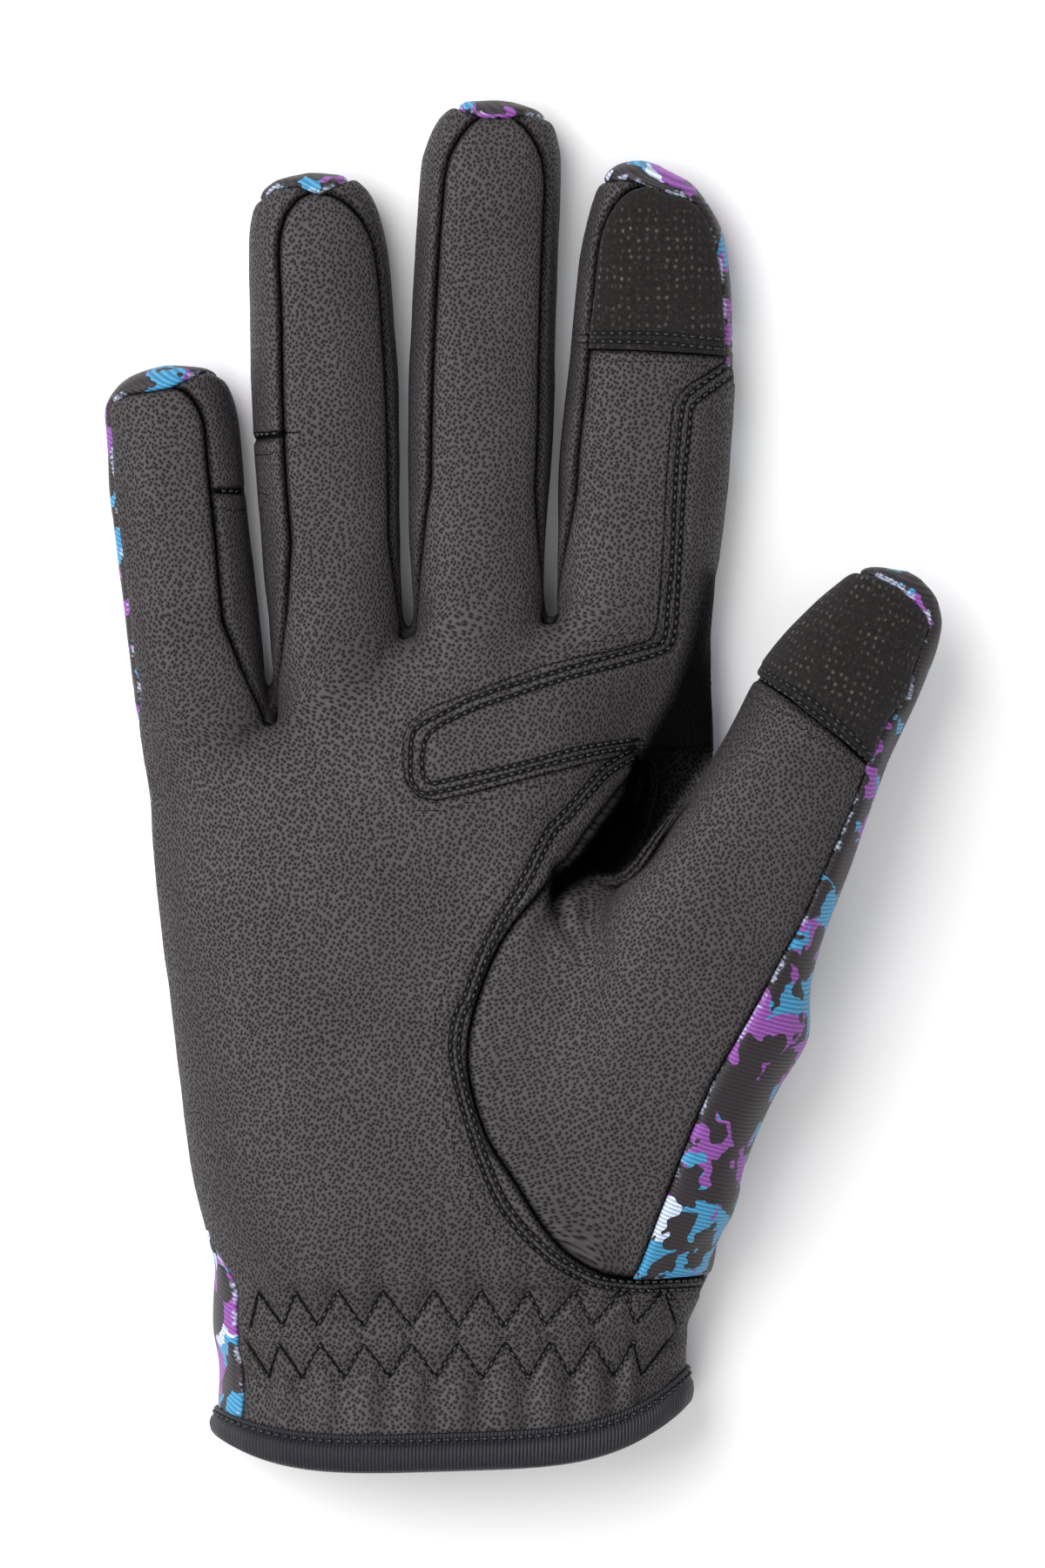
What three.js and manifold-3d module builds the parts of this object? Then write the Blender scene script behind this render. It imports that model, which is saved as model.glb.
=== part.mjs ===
// Horse riding glove for the right hand, lying on its back with the palm up.
// Millimetres, +X to the thumb side, +Y to the fingertips, +Z up from the table.
import * as THREE from 'three';
import Module from 'manifold-3d';

const wasm = await Module();
wasm.setup();

// Driving sizes
const palmLength = 140; // wrist edge to the crotch of the middle and index fingers
const palmThickness = 27; // stuffed thickness of the palm
const wristThickness = 24;
const wristWidth = 77; // across the wrist edge
const heelWidth = 89; // across the palm just above the elastic
const fingerWidths = { little: 22.6, ring: 22.9, middle: 23.2, index: 26.8 };
const fingerLengths = { little: 58.5, ring: 83, middle: 86.5, index: 75.1 };
const fingerLeans = { little: -6.3, ring: -3.5, middle: 2, index: 2.8 }; // degrees from +Y
const fingerThickness = 16;
const thumbLength = 108.6; // from inside the heel to the tip
const thumbWidth = 26;
const thumbLean = 26; // degrees from +Y
const thumbTop = 31; // highest point of the thumb above the table
const leatherThickness = 1.2;
const fabricThickness = 1;
const bindingThickness = 0.9;
const bindingHeight = 5.5; // how far the binding reaches up the wrist
const clearance = 0.4; // gap between neighbouring pieces
const gatherPitch = 7.8; // between two gathers of the elastic
const gatherDepth = 1.3;
const overlayThickness = 1;
const overlayMargin = 1.2; // from the overlay to the seams it stops at

// Sizes worked out from the driving ones
const fingerNames = ['little', 'ring', 'middle', 'index'];
const knuckleHalf = fingerNames.reduce((sum, name) => sum + fingerWidths[name], 0) / 2;
const bindingLift = bindingThickness + clearance; // the wrist edge is held this far off the table
const inset = clearance / 2; // each piece steps back this far from its seams

// Section shape
const sectionPower = 0.77; // below 1 makes a section fuller than an ellipse
const palmBelly = 0.42; // height of the widest point, as a share of the section's top
const fingerBelly = 0.45;
const palmPress = 0.22; // how far the section would reach below the table before it is pressed flat
const fingerPress = 0.15;

// The wrist edge, seen from above: across runs from -1 to 1
const wristRise = 0.063; // share of palm length by which the ends sit above the middle
const wristTilt = 0.0086; // share of palm length by which the thumb end sits higher

// Crotch points from the outer edge of the little finger to the outer edge of the index finger
const crotchHeights = [0.88, 0.88, 0.985, 1, 1.006]; // shares of palm length

// Palm sections. along: share of the way from the wrist edge to the crotches;
// left, right: edges as shares of the knuckle half width; top: share of palm thickness
const palmRows = [
  { along: 0, left: 0.71, right: 0.9, top: 0.88 },
  { along: 0.09, left: 0.714, right: 0.92, top: 0.85 },
  { along: 0.12, left: 0.73, right: 0.945, top: 0.83 },
  { along: 0.15, left: 0.737, right: 0.98, top: 0.86 },
  { along: 0.183, left: 0.738, right: 1.008, top: 0.85 },
  { along: 0.225, left: 0.735, right: 1.035, top: 0.9 },
  { along: 0.28, left: 0.758, right: 1.055, top: 0.96 },
  { along: 0.37, left: 0.806, right: 1.064, top: 1 },
  { along: 0.48, left: 0.838, right: 1.058, top: 1 },
  { along: 0.59, left: 0.871, right: 1.044, top: 0.97 },
  { along: 0.7, left: 0.906, right: 1.022, top: 0.92 },
  { along: 0.8, left: 0.932, right: 1.007, top: 0.86 },
  { along: 0.88, left: 0.948, right: 1.001, top: 0.79 },
  { along: 0.94, left: 0.962, right: 0.998, top: 0.7 },
  { along: 0.975, left: 0.972, right: 0.997, top: 0.6 },
  { along: 1, left: 0.98, right: 0.996, top: 0.42 },
];
// Depth of the gathers in the first sections, as shares of the gather depth
const gatherShares = [0, 0, 0.8, 1, 0.55, 1, 0];

// Finger sections. along: share of finger length; left, right: shares of the finger's half width
const fingerRows = {
  little: [
    { along: -0.26, left: 0.9, right: 0.9 },
    { along: 0, left: 0.97, right: 0.95 },
    { along: 0.12, left: 1, right: 0.93 },
    { along: 0.3, left: 1, right: 0.93 },
    { along: 0.5, left: 1.01, right: 0.97 },
    { along: 0.65, left: 1.03, right: 0.98 },
    { along: 0.8, left: 0.99, right: 0.98 },
    { along: 0.88, left: 0.98, right: 0.94 },
    { along: 0.93, left: 0.85, right: 0.85 },
    { along: 0.965, left: 0.68, right: 0.7 },
    { along: 0.99, left: 0.38, right: 0.36 },
  ],
  ring: [
    { along: -0.22, left: 0.95, right: 0.9 },
    { along: 0, left: 0.97, right: 0.94 },
    { along: 0.1, left: 0.97, right: 0.95 },
    { along: 0.24, left: 1.04, right: 0.97 },
    { along: 0.4, left: 1.08, right: 1.03 },
    { along: 0.6, left: 1.05, right: 1.07 },
    { along: 0.75, left: 0.99, right: 1.07 },
    { along: 0.85, left: 0.97, right: 1.03 },
    { along: 0.905, left: 0.92, right: 0.96 },
    { along: 0.945, left: 0.81, right: 0.86 },
    { along: 0.975, left: 0.66, right: 0.68 },
    { along: 0.993, left: 0.4, right: 0.36 },
  ],
  middle: [
    { along: -0.22, left: 0.9, right: 0.9 },
    { along: 0, left: 0.96, right: 0.94 },
    { along: 0.1, left: 1.04, right: 0.94 },
    { along: 0.25, left: 1.11, right: 0.93 },
    { along: 0.45, left: 1.14, right: 0.93 },
    { along: 0.65, left: 1.13, right: 0.93 },
    { along: 0.8, left: 1.09, right: 0.93 },
    { along: 0.88, left: 1.05, right: 0.92 },
    { along: 0.93, left: 0.94, right: 0.85 },
    { along: 0.96, left: 0.82, right: 0.75 },
    { along: 0.983, left: 0.62, right: 0.52 },
    { along: 0.995, left: 0.38, right: 0.26 },
  ],
  index: [
    { along: -0.24, left: 0.88, right: 0.96 },
    { along: 0, left: 0.95, right: 1 },
    { along: 0.12, left: 0.99, right: 1.02 },
    { along: 0.3, left: 0.98, right: 1.08 },
    { along: 0.48, left: 0.92, right: 1.09 },
    { along: 0.65, left: 0.89, right: 1.06 },
    { along: 0.78, left: 0.84, right: 0.99 },
    { along: 0.86, left: 0.77, right: 0.87 },
    { along: 0.915, left: 0.7, right: 0.68 },
    { along: 0.955, left: 0.6, right: 0.48 },
    { along: 0.98, left: 0.5, right: 0.2 },
    { along: 0.995, left: 0.34, right: 0.02 },
  ],
};
// Finger heights. top, low: shares of finger thickness
const fingerHeights = [
  { along: -0.2, top: 1.16, low: 0 },
  { along: 0, top: 1.09, low: 0 },
  { along: 0.2, top: 1, low: 0 },
  { along: 0.7, top: 0.95, low: 0 },
  { along: 0.88, top: 0.89, low: 0 },
  { along: 0.95, top: 0.8, low: 0.05 },
  { along: 0.98, top: 0.69, low: 0.13 },
  { along: 1, top: 0.5, low: 0.26 },
];

// Thumb sections. left, right: shares of the thumb's half width; low, top: shares of thumbTop
const thumbRows = [
  { along: -0.15, left: 0.8, right: 1.25, low: 0.14, top: 0.6 },
  { along: -0.09, left: 1.2, right: 1.68, low: 0.08, top: 0.75 },
  { along: 0, left: 1.4, right: 1.74, low: 0.06, top: 0.86 },
  { along: 0.1, left: 1.5, right: 1.57, low: 0.07, top: 0.93 },
  { along: 0.2, left: 1.52, right: 1.52, low: 0.11, top: 0.98 },
  { along: 0.29, left: 1.5, right: 1.58, low: 0.18, top: 1 },
  { along: 0.37, left: 1.42, right: 1.32, low: 0.26, top: 1 },
  { along: 0.45, left: 1.24, right: 1.18, low: 0.33, top: 1 },
  { along: 0.55, left: 1.11, right: 1.09, low: 0.37, top: 0.98 },
  { along: 0.65, left: 1.04, right: 1.02, low: 0.35, top: 0.94 },
  { along: 0.75, left: 1.01, right: 0.97, low: 0.31, top: 0.88 },
  { along: 0.82, left: 0.94, right: 0.97, low: 0.28, top: 0.83 },
  { along: 0.88, left: 0.79, right: 0.94, low: 0.28, top: 0.79 },
  { along: 0.925, left: 0.64, right: 0.88, low: 0.29, top: 0.75 },
  { along: 0.96, left: 0.48, right: 0.77, low: 0.32, top: 0.71 },
  { along: 0.985, left: 0.24, right: 0.58, low: 0.36, top: 0.64 },
];
const thumbBaseAcross = 0.644; // share of the knuckle half width
const thumbBaseAlong = 0.358; // share of palm length

// Dents pressed into the palm. x: share of knuckle half width; y: share of palm length;
// across, up: reach as the same shares; depth: share of palm thickness
const dents = [
  { x: 0.86, y: 0.8, across: 0.2, up: 0.11, depth: 0.66 }, // the fold beside the thumb crotch
  { x: 0.62, y: 0.7, across: 0.16, up: 0.05, depth: 0.2 }, // the fold running down from it
  { x: -0.1, y: 0.62, across: 0.4, up: 0.3, depth: 0.06 }, // hollow of the palm
];

// Seams of the fingers. Shares of the local half width, from the finger's middle line
const archLeft = { ring: 0.58, middle: 0.69, index: 0.8 };
const archRight = { little: 0.52, ring: 0.86, middle: 0.82 };
const archStart = 0.8; // share of finger length where the palm leather starts to narrow to its arch
const archOverrun = 0.012; // how far past the tip seam the arch would close, share of finger length
const archPower = 2.4; // above 2 makes the arch squarer than a half ellipse
const crotchWidth = 1.06; // share of half width that the palm leather covers between the fingers
const crotchPlace = -0.1; // share of finger length where it has that width
const stripPlace = 0.26; // share of finger length where the side strips have their full width
const stripStart = 0.985; // share of palm length where the side strips reach over the crotches
const tipSeams = { little: 0.94, ring: 0.958, middle: 0.967, index: 0.94 };
const piecingSeams = { little: 0.625, ring: 0.475 };
const outerSeamHeight = 0.68; // height of the back seam on outer sides, share of the finger's top
const innerSeamHeight = 0.24; // and between the fingers
const indexPatchSeam = 0.575; // share of index length
const thumbPatchSeam = 0.735; // share of thumb length
const thumbPatchSlant = -0.025;

// Height of the back seam along the palm's little finger side, share of the local top
const palmLeftSeam = [
  { along: 0, height: 0.74 },
  { along: 0.2, height: 0.74 },
  { along: 0.26, height: 0.6 },
  { along: 1, height: 0.58 },
];
// And along its index and thumb side
const palmRightSeam = [
  { along: 0, height: 0.3 },
  { along: 0.22, height: 0.3 },
  { along: 0.32, height: 0.56 },
  { along: 0.55, height: 0.56 },
  { along: 0.64, height: 0.26 },
  { along: 1, height: 0.3 },
];
const indexBaseSeamHeight = 0.3;

// Seam between thumb leather and thumb fabric, share of the thumb's half width from its middle line
const thumbFabricSeam = [
  { along: -0.145, side: 0.97 },
  { along: 0.05, side: 0.845 },
  { along: 0.17, side: 0.79 },
  { along: 0.32, side: 0.86 },
  { along: 0.44, side: 0.91 },
  { along: 0.64, side: 0.86 },
  { along: 0.8, side: 0.84 },
  { along: 0.87, side: 0.84 },
  { along: 0.925, side: 0.78 },
  { along: 0.96, side: 0.62 },
];
const thumbTipSeam = 0.972;
const thumbInnerSeamHeight = 0.25;

// Edge of the set-in thumb seen from above, from the crotch round the heel to the outer side.
// Shares of the knuckle half width and of the palm length
const thumbArc = [
  [0.779, 0.839],
  [0.578, 0.754],
  [0.463, 0.697],
  [0.276, 0.62],
  [0.174, 0.534],
  [0.155, 0.465],
  [0.216, 0.389],
  [0.312, 0.337],
  [0.434, 0.272],
  [0.565, 0.234],
  [0.737, 0.217],
  [1.04, 0.219],
];

// Edge of the overlay on the palm, from the index finger round its blunt end to the thumb crotch
const overlayEdge = [
  [0.86, 1.02],
  [0.85, 0.99],
  [0.77, 0.972],
  [0.517, 0.948],
  [0.27, 0.926],
  [0.08, 0.901],
  [-0.007, 0.886],
  [-0.057, 0.86],
  [-0.065, 0.816],
  [-0.038, 0.79],
  [0.029, 0.779],
  [0.153, 0.789],
  [0.373, 0.806],
  [0.553, 0.824],
];
// Its edge along the index finger, share of the finger's local half width
const overlayOnIndex = [
  { along: -0.4, side: 0.44 },
  { along: 0.47, side: 0.43 },
  { along: 0.515, side: 0.53 },
  { along: 0.572, side: 0.93 },
];

const overlayLow = -0.12; // share of index length where the overlay's part on the finger begins
const foldReach = 0.22; // how far the overlay runs on beside the fold, share of the knuckle half width
const foldTop = 0.9; // share of palm length above which the fold leaves it free

// Mesh fineness
const fingerSides = 16;
const thumbSides = 20;
const palmSides = 28;
const overlayReach = 5; // the palm is finer this near to the overlay's edge
const overlayEdgeLength = 7;
const shortestEdge = 0.9; // edges shorter than this are closed after the join
const mostTurn = 0.3; // cosine of the most that a face may turn when an edge closes
const leastCut = 0.04; // a seam crosses an edge no nearer to its end than this share
const thumbBelly = 0.5; // height of the widest point, as a share of the thumb's thickness

const clamp = (value, low, high) => Math.min(Math.max(value, low), high);
const mix = (a, b, t) => a + (b - a) * t;

// A column of a table at a place along it, straight between the rows.
function lookup(rows, along, column) {
  const last = rows.length - 1;
  if (along <= rows[0].along) return rows[0][column];
  if (along >= rows[last].along) return rows[last][column];
  const next = rows.findIndex((row) => row.along > along);
  const [a, b] = [rows[next - 1], rows[next]];
  return mix(a[column], b[column], (along - a.along) / (b.along - a.along));
}

// Distance from a point to a closed outline, positive inside it.
function signedDistance(outline, x, y) {
  let nearest = Infinity;
  let inside = false;
  for (let i = 0; i < outline.length; i += 1) {
    const a = outline[i];
    const b = outline[(i + 1) % outline.length];
    const [dx, dy] = [b[0] - a[0], b[1] - a[1]];
    const t = clamp(((x - a[0]) * dx + (y - a[1]) * dy) / (dx * dx + dy * dy), 0, 1);
    nearest = Math.min(nearest, Math.hypot(x - a[0] - t * dx, y - a[1] - t * dy));
    if (a[1] > y !== b[1] > y && x < a[0] + (dx * (y - a[1])) / dy) inside = !inside;
  }
  return inside ? nearest : -nearest;
}

// Full section: height over a place across it, where angle runs round the section.
function sectionPoint(angle, middle, half, low, top, belly) {
  const across = Math.cos(angle);
  const up = Math.sin(angle);
  const widest = mix(low, top, belly);
  const reach = up > 0 ? top - widest : widest - low;
  return {
    across: middle + half * Math.sign(across) * Math.abs(across) ** sectionPower,
    height: widest + reach * Math.sign(up) * Math.abs(up) ** sectionPower,
  };
}

// Palm
const crotchXs = [-knuckleHalf];
for (const name of fingerNames) crotchXs.push(crotchXs[crotchXs.length - 1] + fingerWidths[name]);
const wristShare = wristWidth / 2 / knuckleHalf;
const heelShare = heelWidth / 2 / knuckleHalf;
const modelledWristShare = 0.805;
const modelledHeelShare = 0.93;
const wristEnd = 0.1;
const heelPlace = 0.34;
const knucklePlace = 0.9;

// How much a palm row's edges are widened, so that wrist and heel keep their own sizes.
function palmWidening(along) {
  const wrist = wristShare / modelledWristShare;
  const heel = heelShare / modelledHeelShare;
  if (along < heelPlace) {
    return mix(wrist, heel, clamp((along - wristEnd) / (heelPlace - wristEnd), 0, 1));
  }
  return mix(heel, 1, clamp((along - heelPlace) / (knucklePlace - heelPlace), 0, 1));
}

const palmEdge = (along, side) => lookup(palmRows, along, side) * knuckleHalf * palmWidening(along);

function palmTop(along) {
  const wristHeight = wristThickness / palmThickness;
  const modelledWristHeight = palmRows[0].top;
  const thickening = mix(wristHeight / modelledWristHeight, 1, clamp(along / heelPlace, 0, 1));
  return lookup(palmRows, along, 'top') * palmThickness * thickening;
}

const wristLine = (u) => palmLength * (wristRise * Math.abs(u) ** 4 + wristTilt * u);

function crotchLine(u) {
  const x = u * knuckleHalf;
  const next = clamp(crotchXs.findIndex((edge) => edge > x), 1, crotchXs.length - 1);
  const t = clamp((x - crotchXs[next - 1]) / (crotchXs[next] - crotchXs[next - 1]), 0, 1);
  return palmLength * mix(crotchHeights[next - 1], crotchHeights[next], t);
}

// Where a point seen from above lies on the palm: u across from -1 to 1, along from wrist to crotch.
function palmPlace(x, y) {
  let along = clamp(y / palmLength, 0, 1);
  let u = 0;
  for (let pass = 0; pass < 8; pass += 1) {
    const [left, right] = [palmEdge(along, 'left'), palmEdge(along, 'right')];
    u = clamp((x - (right - left) / 2) / ((right + left) / 2), -1, 1);
    const low = wristLine(u);
    along = clamp((y - low) / (crotchLine(u) - low), 0, 1);
  }
  return { u, along };
}

function dentDepth(x, y) {
  let depth = 0;
  for (const dent of dents) {
    const across = (x / knuckleHalf - dent.x) / dent.across;
    const up = (y / palmLength - dent.y) / dent.up;
    depth += dent.depth * palmThickness * Math.exp(-across * across - up * up);
  }
  return depth;
}

// Points inside the pressed underside add nothing to it.
function withoutFlatMiddle(ring, floor) {
  const isFlat = (i) => ring[(i + ring.length) % ring.length].point[2] <= floor;
  return ring.filter((_, i) => !(isFlat(i - 1) && isFlat(i) && isFlat(i + 1)));
}

// The wrist edge is lifted for the binding, and comes down to the table above it.
const boundShare = bindingHeight / palmLength;
const palmFloor = (along) => bindingLift * clamp((2 * boundShare - along) / boundShare, 0, 1);

// The wall runs straight under the binding, so a section stands where the binding ends.
const palmSections = [palmRows[0], { ...palmRows[0], along: boundShare }, ...palmRows.slice(1)];
const wristGirth = 2 * (palmEdge(0, 'left') + palmEdge(0, 'right'));
const gathers = Math.max(4, Math.round(wristGirth / gatherPitch));

function palmRing(row, index) {
  const gathered = index < gatherShares.length;
  const sides = gathered ? gathers * 2 : palmSides;
  const top = palmTop(row.along);
  const floor = palmFloor(row.along);
  const [left, right] = [palmEdge(row.along, 'left'), palmEdge(row.along, 'right')];
  const ring = [];
  for (let i = 0; i < sides; i += 1) {
    const turn = i / sides;
    const place = sectionPoint(
      2 * Math.PI * turn, (right - left) / 2, (right + left) / 2, -palmPress * top, top, palmBelly);
    const u = Math.sign(place.across - (right - left) / 2)
      * Math.min(1, Math.abs(place.across - (right - left) / 2) / ((right + left) / 2));
    const x = place.across;
    const y = mix(wristLine(u), crotchLine(u), row.along);
    let z = place.height;
    if (z > palmBelly * top) {
      const upper = (z - palmBelly * top) / (top - palmBelly * top);
      z -= dentDepth(x, y) * upper;
      if (gathered && i % 2 === 1) z -= gatherDepth * gatherShares[index] * Math.sqrt(upper);
    }
    ring.push({ turn, point: [x, y, Math.max(z, floor)] });
  }
  return gathered ? ring : withoutFlatMiddle(ring, floor);
}

// Fingers
const radians = (degrees) => (degrees * Math.PI) / 180;

function digit(baseX, baseY, length, half, lean, rows) {
  const [dx, dy] = [Math.sin(radians(lean)), Math.cos(radians(lean))];
  return {
    rows,
    length,
    half,
    place: (along, across) => [
      baseX + dx * along * length + dy * across,
      baseY + dy * along * length - dx * across,
    ],
    // along: share of length; side: -1 to 1 across the local width; across: in millimetres
    locate: (x, y) => {
      const along = ((x - baseX) * dx + (y - baseY) * dy) / length;
      const across = (x - baseX) * dy - (y - baseY) * dx;
      const left = lookup(rows, along, 'left') * half;
      const right = lookup(rows, along, 'right') * half;
      return { along, across, side: (across - (right - left) / 2) / ((right + left) / 2) };
    },
  };
}

const digits = {};
fingerNames.forEach((name, i) => {
  const baseX = (crotchXs[i] + crotchXs[i + 1]) / 2;
  const baseY = ((crotchHeights[i] + crotchHeights[i + 1]) / 2) * palmLength;
  digits[name] = digit(
    baseX, baseY, fingerLengths[name], fingerWidths[name] / 2, fingerLeans[name], fingerRows[name]);
});
digits.thumb = digit(
  thumbBaseAcross * knuckleHalf, thumbBaseAlong * palmLength,
  thumbLength, thumbWidth / 2, thumbLean, thumbRows);

function digitRing(shape, row, low, top, belly, press, sides) {
  const middle = ((row.right - row.left) / 2) * shape.half;
  const half = ((row.right + row.left) / 2) * shape.half;
  const ring = [];
  for (let i = 0; i < sides; i += 1) {
    const turn = i / sides;
    const place = sectionPoint(2 * Math.PI * turn, middle, half, low - press * top, top, belly);
    const [x, y] = shape.place(row.along, place.across);
    ring.push({ turn, point: [x, y, Math.max(place.height, 0)] });
  }
  return withoutFlatMiddle(ring, 0);
}

function fingerRing(name, row) {
  const top = lookup(fingerHeights, row.along, 'top') * fingerThickness;
  const low = lookup(fingerHeights, row.along, 'low') * fingerThickness;
  return digitRing(digits[name], row, low, top, fingerBelly, fingerPress * (low > 0 ? 0 : 1), fingerSides);
}

const thumbRing = (row) => digitRing(
  digits.thumb, row, row.low * thumbTop, row.top * thumbTop, thumbBelly, 0, thumbSides);

// Closed body through rings that may hold different numbers of points.
function loft(rings) {
  const points = [];
  const triangles = [];
  const starts = rings.map((ring) => {
    const start = points.length;
    for (const { point } of ring) points.push(point);
    return start;
  });
  for (let k = 0; k + 1 < rings.length; k += 1) {
    const [a, b] = [rings[k], rings[k + 1]];
    let [i, j] = [0, 0];
    while (i < a.length || j < b.length) {
      const nextA = i < a.length ? (a[i + 1]?.turn ?? 1) : Infinity;
      const nextB = j < b.length ? (b[j + 1]?.turn ?? 1) : Infinity;
      const [p, q] = [starts[k] + (i % a.length), starts[k + 1] + (j % b.length)];
      if (nextA <= nextB) {
        triangles.push([p, starts[k] + ((i + 1) % a.length), q]);
        i += 1;
      } else {
        triangles.push([p, starts[k + 1] + ((j + 1) % b.length), q]);
        j += 1;
      }
    }
  }
  for (const end of [0, rings.length - 1]) {
    const ring = rings[end];
    const centre = [0, 1, 2].map(
      (axis) => ring.reduce((sum, { point }) => sum + point[axis], 0) / ring.length);
    const hub = points.push(centre) - 1;
    for (let i = 0; i < ring.length; i += 1) {
      const [p, q] = [starts[end] + i, starts[end] + ((i + 1) % ring.length)];
      triangles.push(end === 0 ? [hub, q, p] : [hub, p, q]);
    }
  }
  return { points, triangles };
}

function signedVolume({ points, triangles }) {
  let volume = 0;
  for (const [a, b, c] of triangles) {
    const [p, q, r] = [points[a], points[b], points[c]];
    volume += p[0] * (q[1] * r[2] - q[2] * r[1])
      + p[1] * (q[2] * r[0] - q[0] * r[2])
      + p[2] * (q[0] * r[1] - q[1] * r[0]);
  }
  return volume;
}

function solid(body) {
  const turned = signedVolume(body) < 0;
  const triangles = body.triangles.map(([a, b, c]) => (turned ? [a, c, b] : [a, b, c]));
  return new wasm.Manifold(new wasm.Mesh({
    numProp: 3,
    vertProperties: new Float32Array(body.points.flat()),
    triVerts: new Uint32Array(triangles.flat()),
  }));
}

// The outer skin: palm, fingers and thumb joined, each triangle knowing which of them it came from
function joinBodies(bodies) {
  const sources = new Map();
  let joined = null;
  for (const [name, body] of Object.entries(bodies)) {
    const piece = solid(body).asOriginal();
    sources.set(piece.originalID(), name);
    joined = joined ? joined.add(piece) : piece;
  }
  const mesh = joined.getMesh();
  const points = [];
  const places = new Map();
  const pointOf = [];
  for (let i = 0; i < mesh.numVert; i += 1) {
    const point = Array.from(mesh.vertProperties.subarray(i * mesh.numProp, i * mesh.numProp + 3));
    const key = point.map((value) => Math.round(value * 1000)).join();
    if (!places.has(key)) places.set(key, points.push(point) - 1);
    pointOf.push(places.get(key));
  }
  const triangles = [];
  for (let run = 0; run < mesh.runOriginalID.length; run += 1) {
    const source = sources.get(mesh.runOriginalID[run]);
    for (let t = mesh.runIndex[run]; t < mesh.runIndex[run + 1]; t += 3) {
      const corners = [0, 1, 2].map((k) => pointOf[mesh.triVerts[t + k]]);
      if (new Set(corners).size === 3) triangles.push({ corners, source });
    }
  }
  return { points, triangles };
}

// Small vector helpers
const minus = (a, b) => [a[0] - b[0], a[1] - b[1], a[2] - b[2]];
const plus = (a, b, scale = 1) => [a[0] + b[0] * scale, a[1] + b[1] * scale, a[2] + b[2] * scale];
const dot = (a, b) => a[0] * b[0] + a[1] * b[1] + a[2] * b[2];
const cross = (a, b) => [
  a[1] * b[2] - a[2] * b[1], a[2] * b[0] - a[0] * b[2], a[0] * b[1] - a[1] * b[0]];
const unit = (a) => {
  const length = Math.hypot(...a) || 1;
  return [a[0] / length, a[1] / length, a[2] / length];
};
const faceNormal = (points, [a, b, c]) => cross(minus(points[b], points[a]), minus(points[c], points[a]));

// Closes short edges left by the join, where the skin stays sound and no face turns over.
function closeShortEdges(skin, shortest) {
  const { points } = skin;
  let { triangles } = skin;
  for (let pass = 0; pass < 12; pass += 1) {
    const around = new Map();
    triangles.forEach((triangle, t) => {
      for (const corner of triangle.corners) {
        if (!around.has(corner)) around.set(corner, []);
        around.get(corner).push(t);
      }
    });
    const ring = (p) => new Set(around.get(p).flatMap((t) => triangles[t].corners).filter((q) => q !== p));
    const touched = new Set();
    const short = [];
    for (const { corners } of triangles) {
      for (let k = 0; k < 3; k += 1) {
        const [p, q] = [corners[k], corners[(k + 1) % 3]];
        const length = Math.hypot(...minus(points[p], points[q]));
        if (p < q && length < shortest) short.push([length, p, q]);
      }
    }
    short.sort((a, b) => a[0] - b[0]);
    const movedTo = new Map();
    for (const [, p, q] of short) {
      const ringP = ring(p);
      const ringQ = ring(q);
      const shared = [...ringP].filter((corner) => ringQ.has(corner));
      const area = new Set([...ringP, ...ringQ]);
      if (shared.length !== 2 || [...area].some((corner) => touched.has(corner))) continue;
      const middle = plus(points[p], minus(points[q], points[p]), 0.5);
      const target = points[p][2] === 0 || points[q][2] === 0 ? [middle[0], middle[1], 0] : middle;
      const sound = [...around.get(p), ...around.get(q)].every((t) => {
        const { corners } = triangles[t];
        if (corners.includes(p) && corners.includes(q)) return true;
        const before = unit(faceNormal(points, corners));
        const moved = corners.map((corner) => (corner === p || corner === q ? target : points[corner]));
        const after = unit(faceNormal(moved, [0, 1, 2]));
        return dot(before, after) > mostTurn;
      });
      if (!sound) continue;
      points[p] = target;
      movedTo.set(q, p);
      for (const corner of area) touched.add(corner);
    }
    if (movedTo.size === 0) break;
    triangles = triangles
      .map((triangle) => ({ ...triangle, corners: triangle.corners.map((p) => movedTo.get(p) ?? p) }))
      .filter(({ corners }) => new Set(corners).size === 3);
  }
  return { points, triangles };
}

const keyOf = (p, q) => (p < q ? `${p},${q}` : `${q},${p}`);
const edgesOf = ({ corners }) => [0, 1, 2].map((k) => [corners[k], corners[(k + 1) % 3]]);

// Cuts every triangle that has a new point on one of its edges.
function divide({ points, triangles: whole }, crossings) {
  const triangles = [];
  for (const triangle of whole) {
    const cuts = edgesOf(triangle).map(([p, q]) => crossings.get(keyOf(p, q)));
    const count = cuts.filter((cut) => cut !== undefined).length;
    const add = (...corners) => triangles.push({ ...triangle, corners });
    if (count === 0) {
      triangles.push(triangle);
      continue;
    }
    const first = count === 1 ? cuts.findIndex((cut) => cut !== undefined)
      : count === 2 ? (cuts.findIndex((cut) => cut === undefined) + 1) % 3 : 0;
    const [a, b, c] = [0, 1, 2].map((k) => triangle.corners[(first + k) % 3]);
    const [ab, bc, ca] = [0, 1, 2].map((k) => cuts[(first + k) % 3]);
    if (count === 1) {
      add(a, ab, c);
      add(ab, b, c);
    } else if (count === 2) {
      add(ab, b, bc);
      const across = Math.hypot(...minus(points[a], points[bc]));
      if (across < Math.hypot(...minus(points[ab], points[c]))) {
        add(a, ab, bc);
        add(a, bc, c);
      } else {
        add(a, ab, c);
        add(ab, bc, c);
      }
    } else {
      add(a, ab, ca);
      add(ab, b, bc);
      add(bc, c, ca);
      add(ab, bc, ca);
    }
  }
  return { points, triangles };
}

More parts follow.
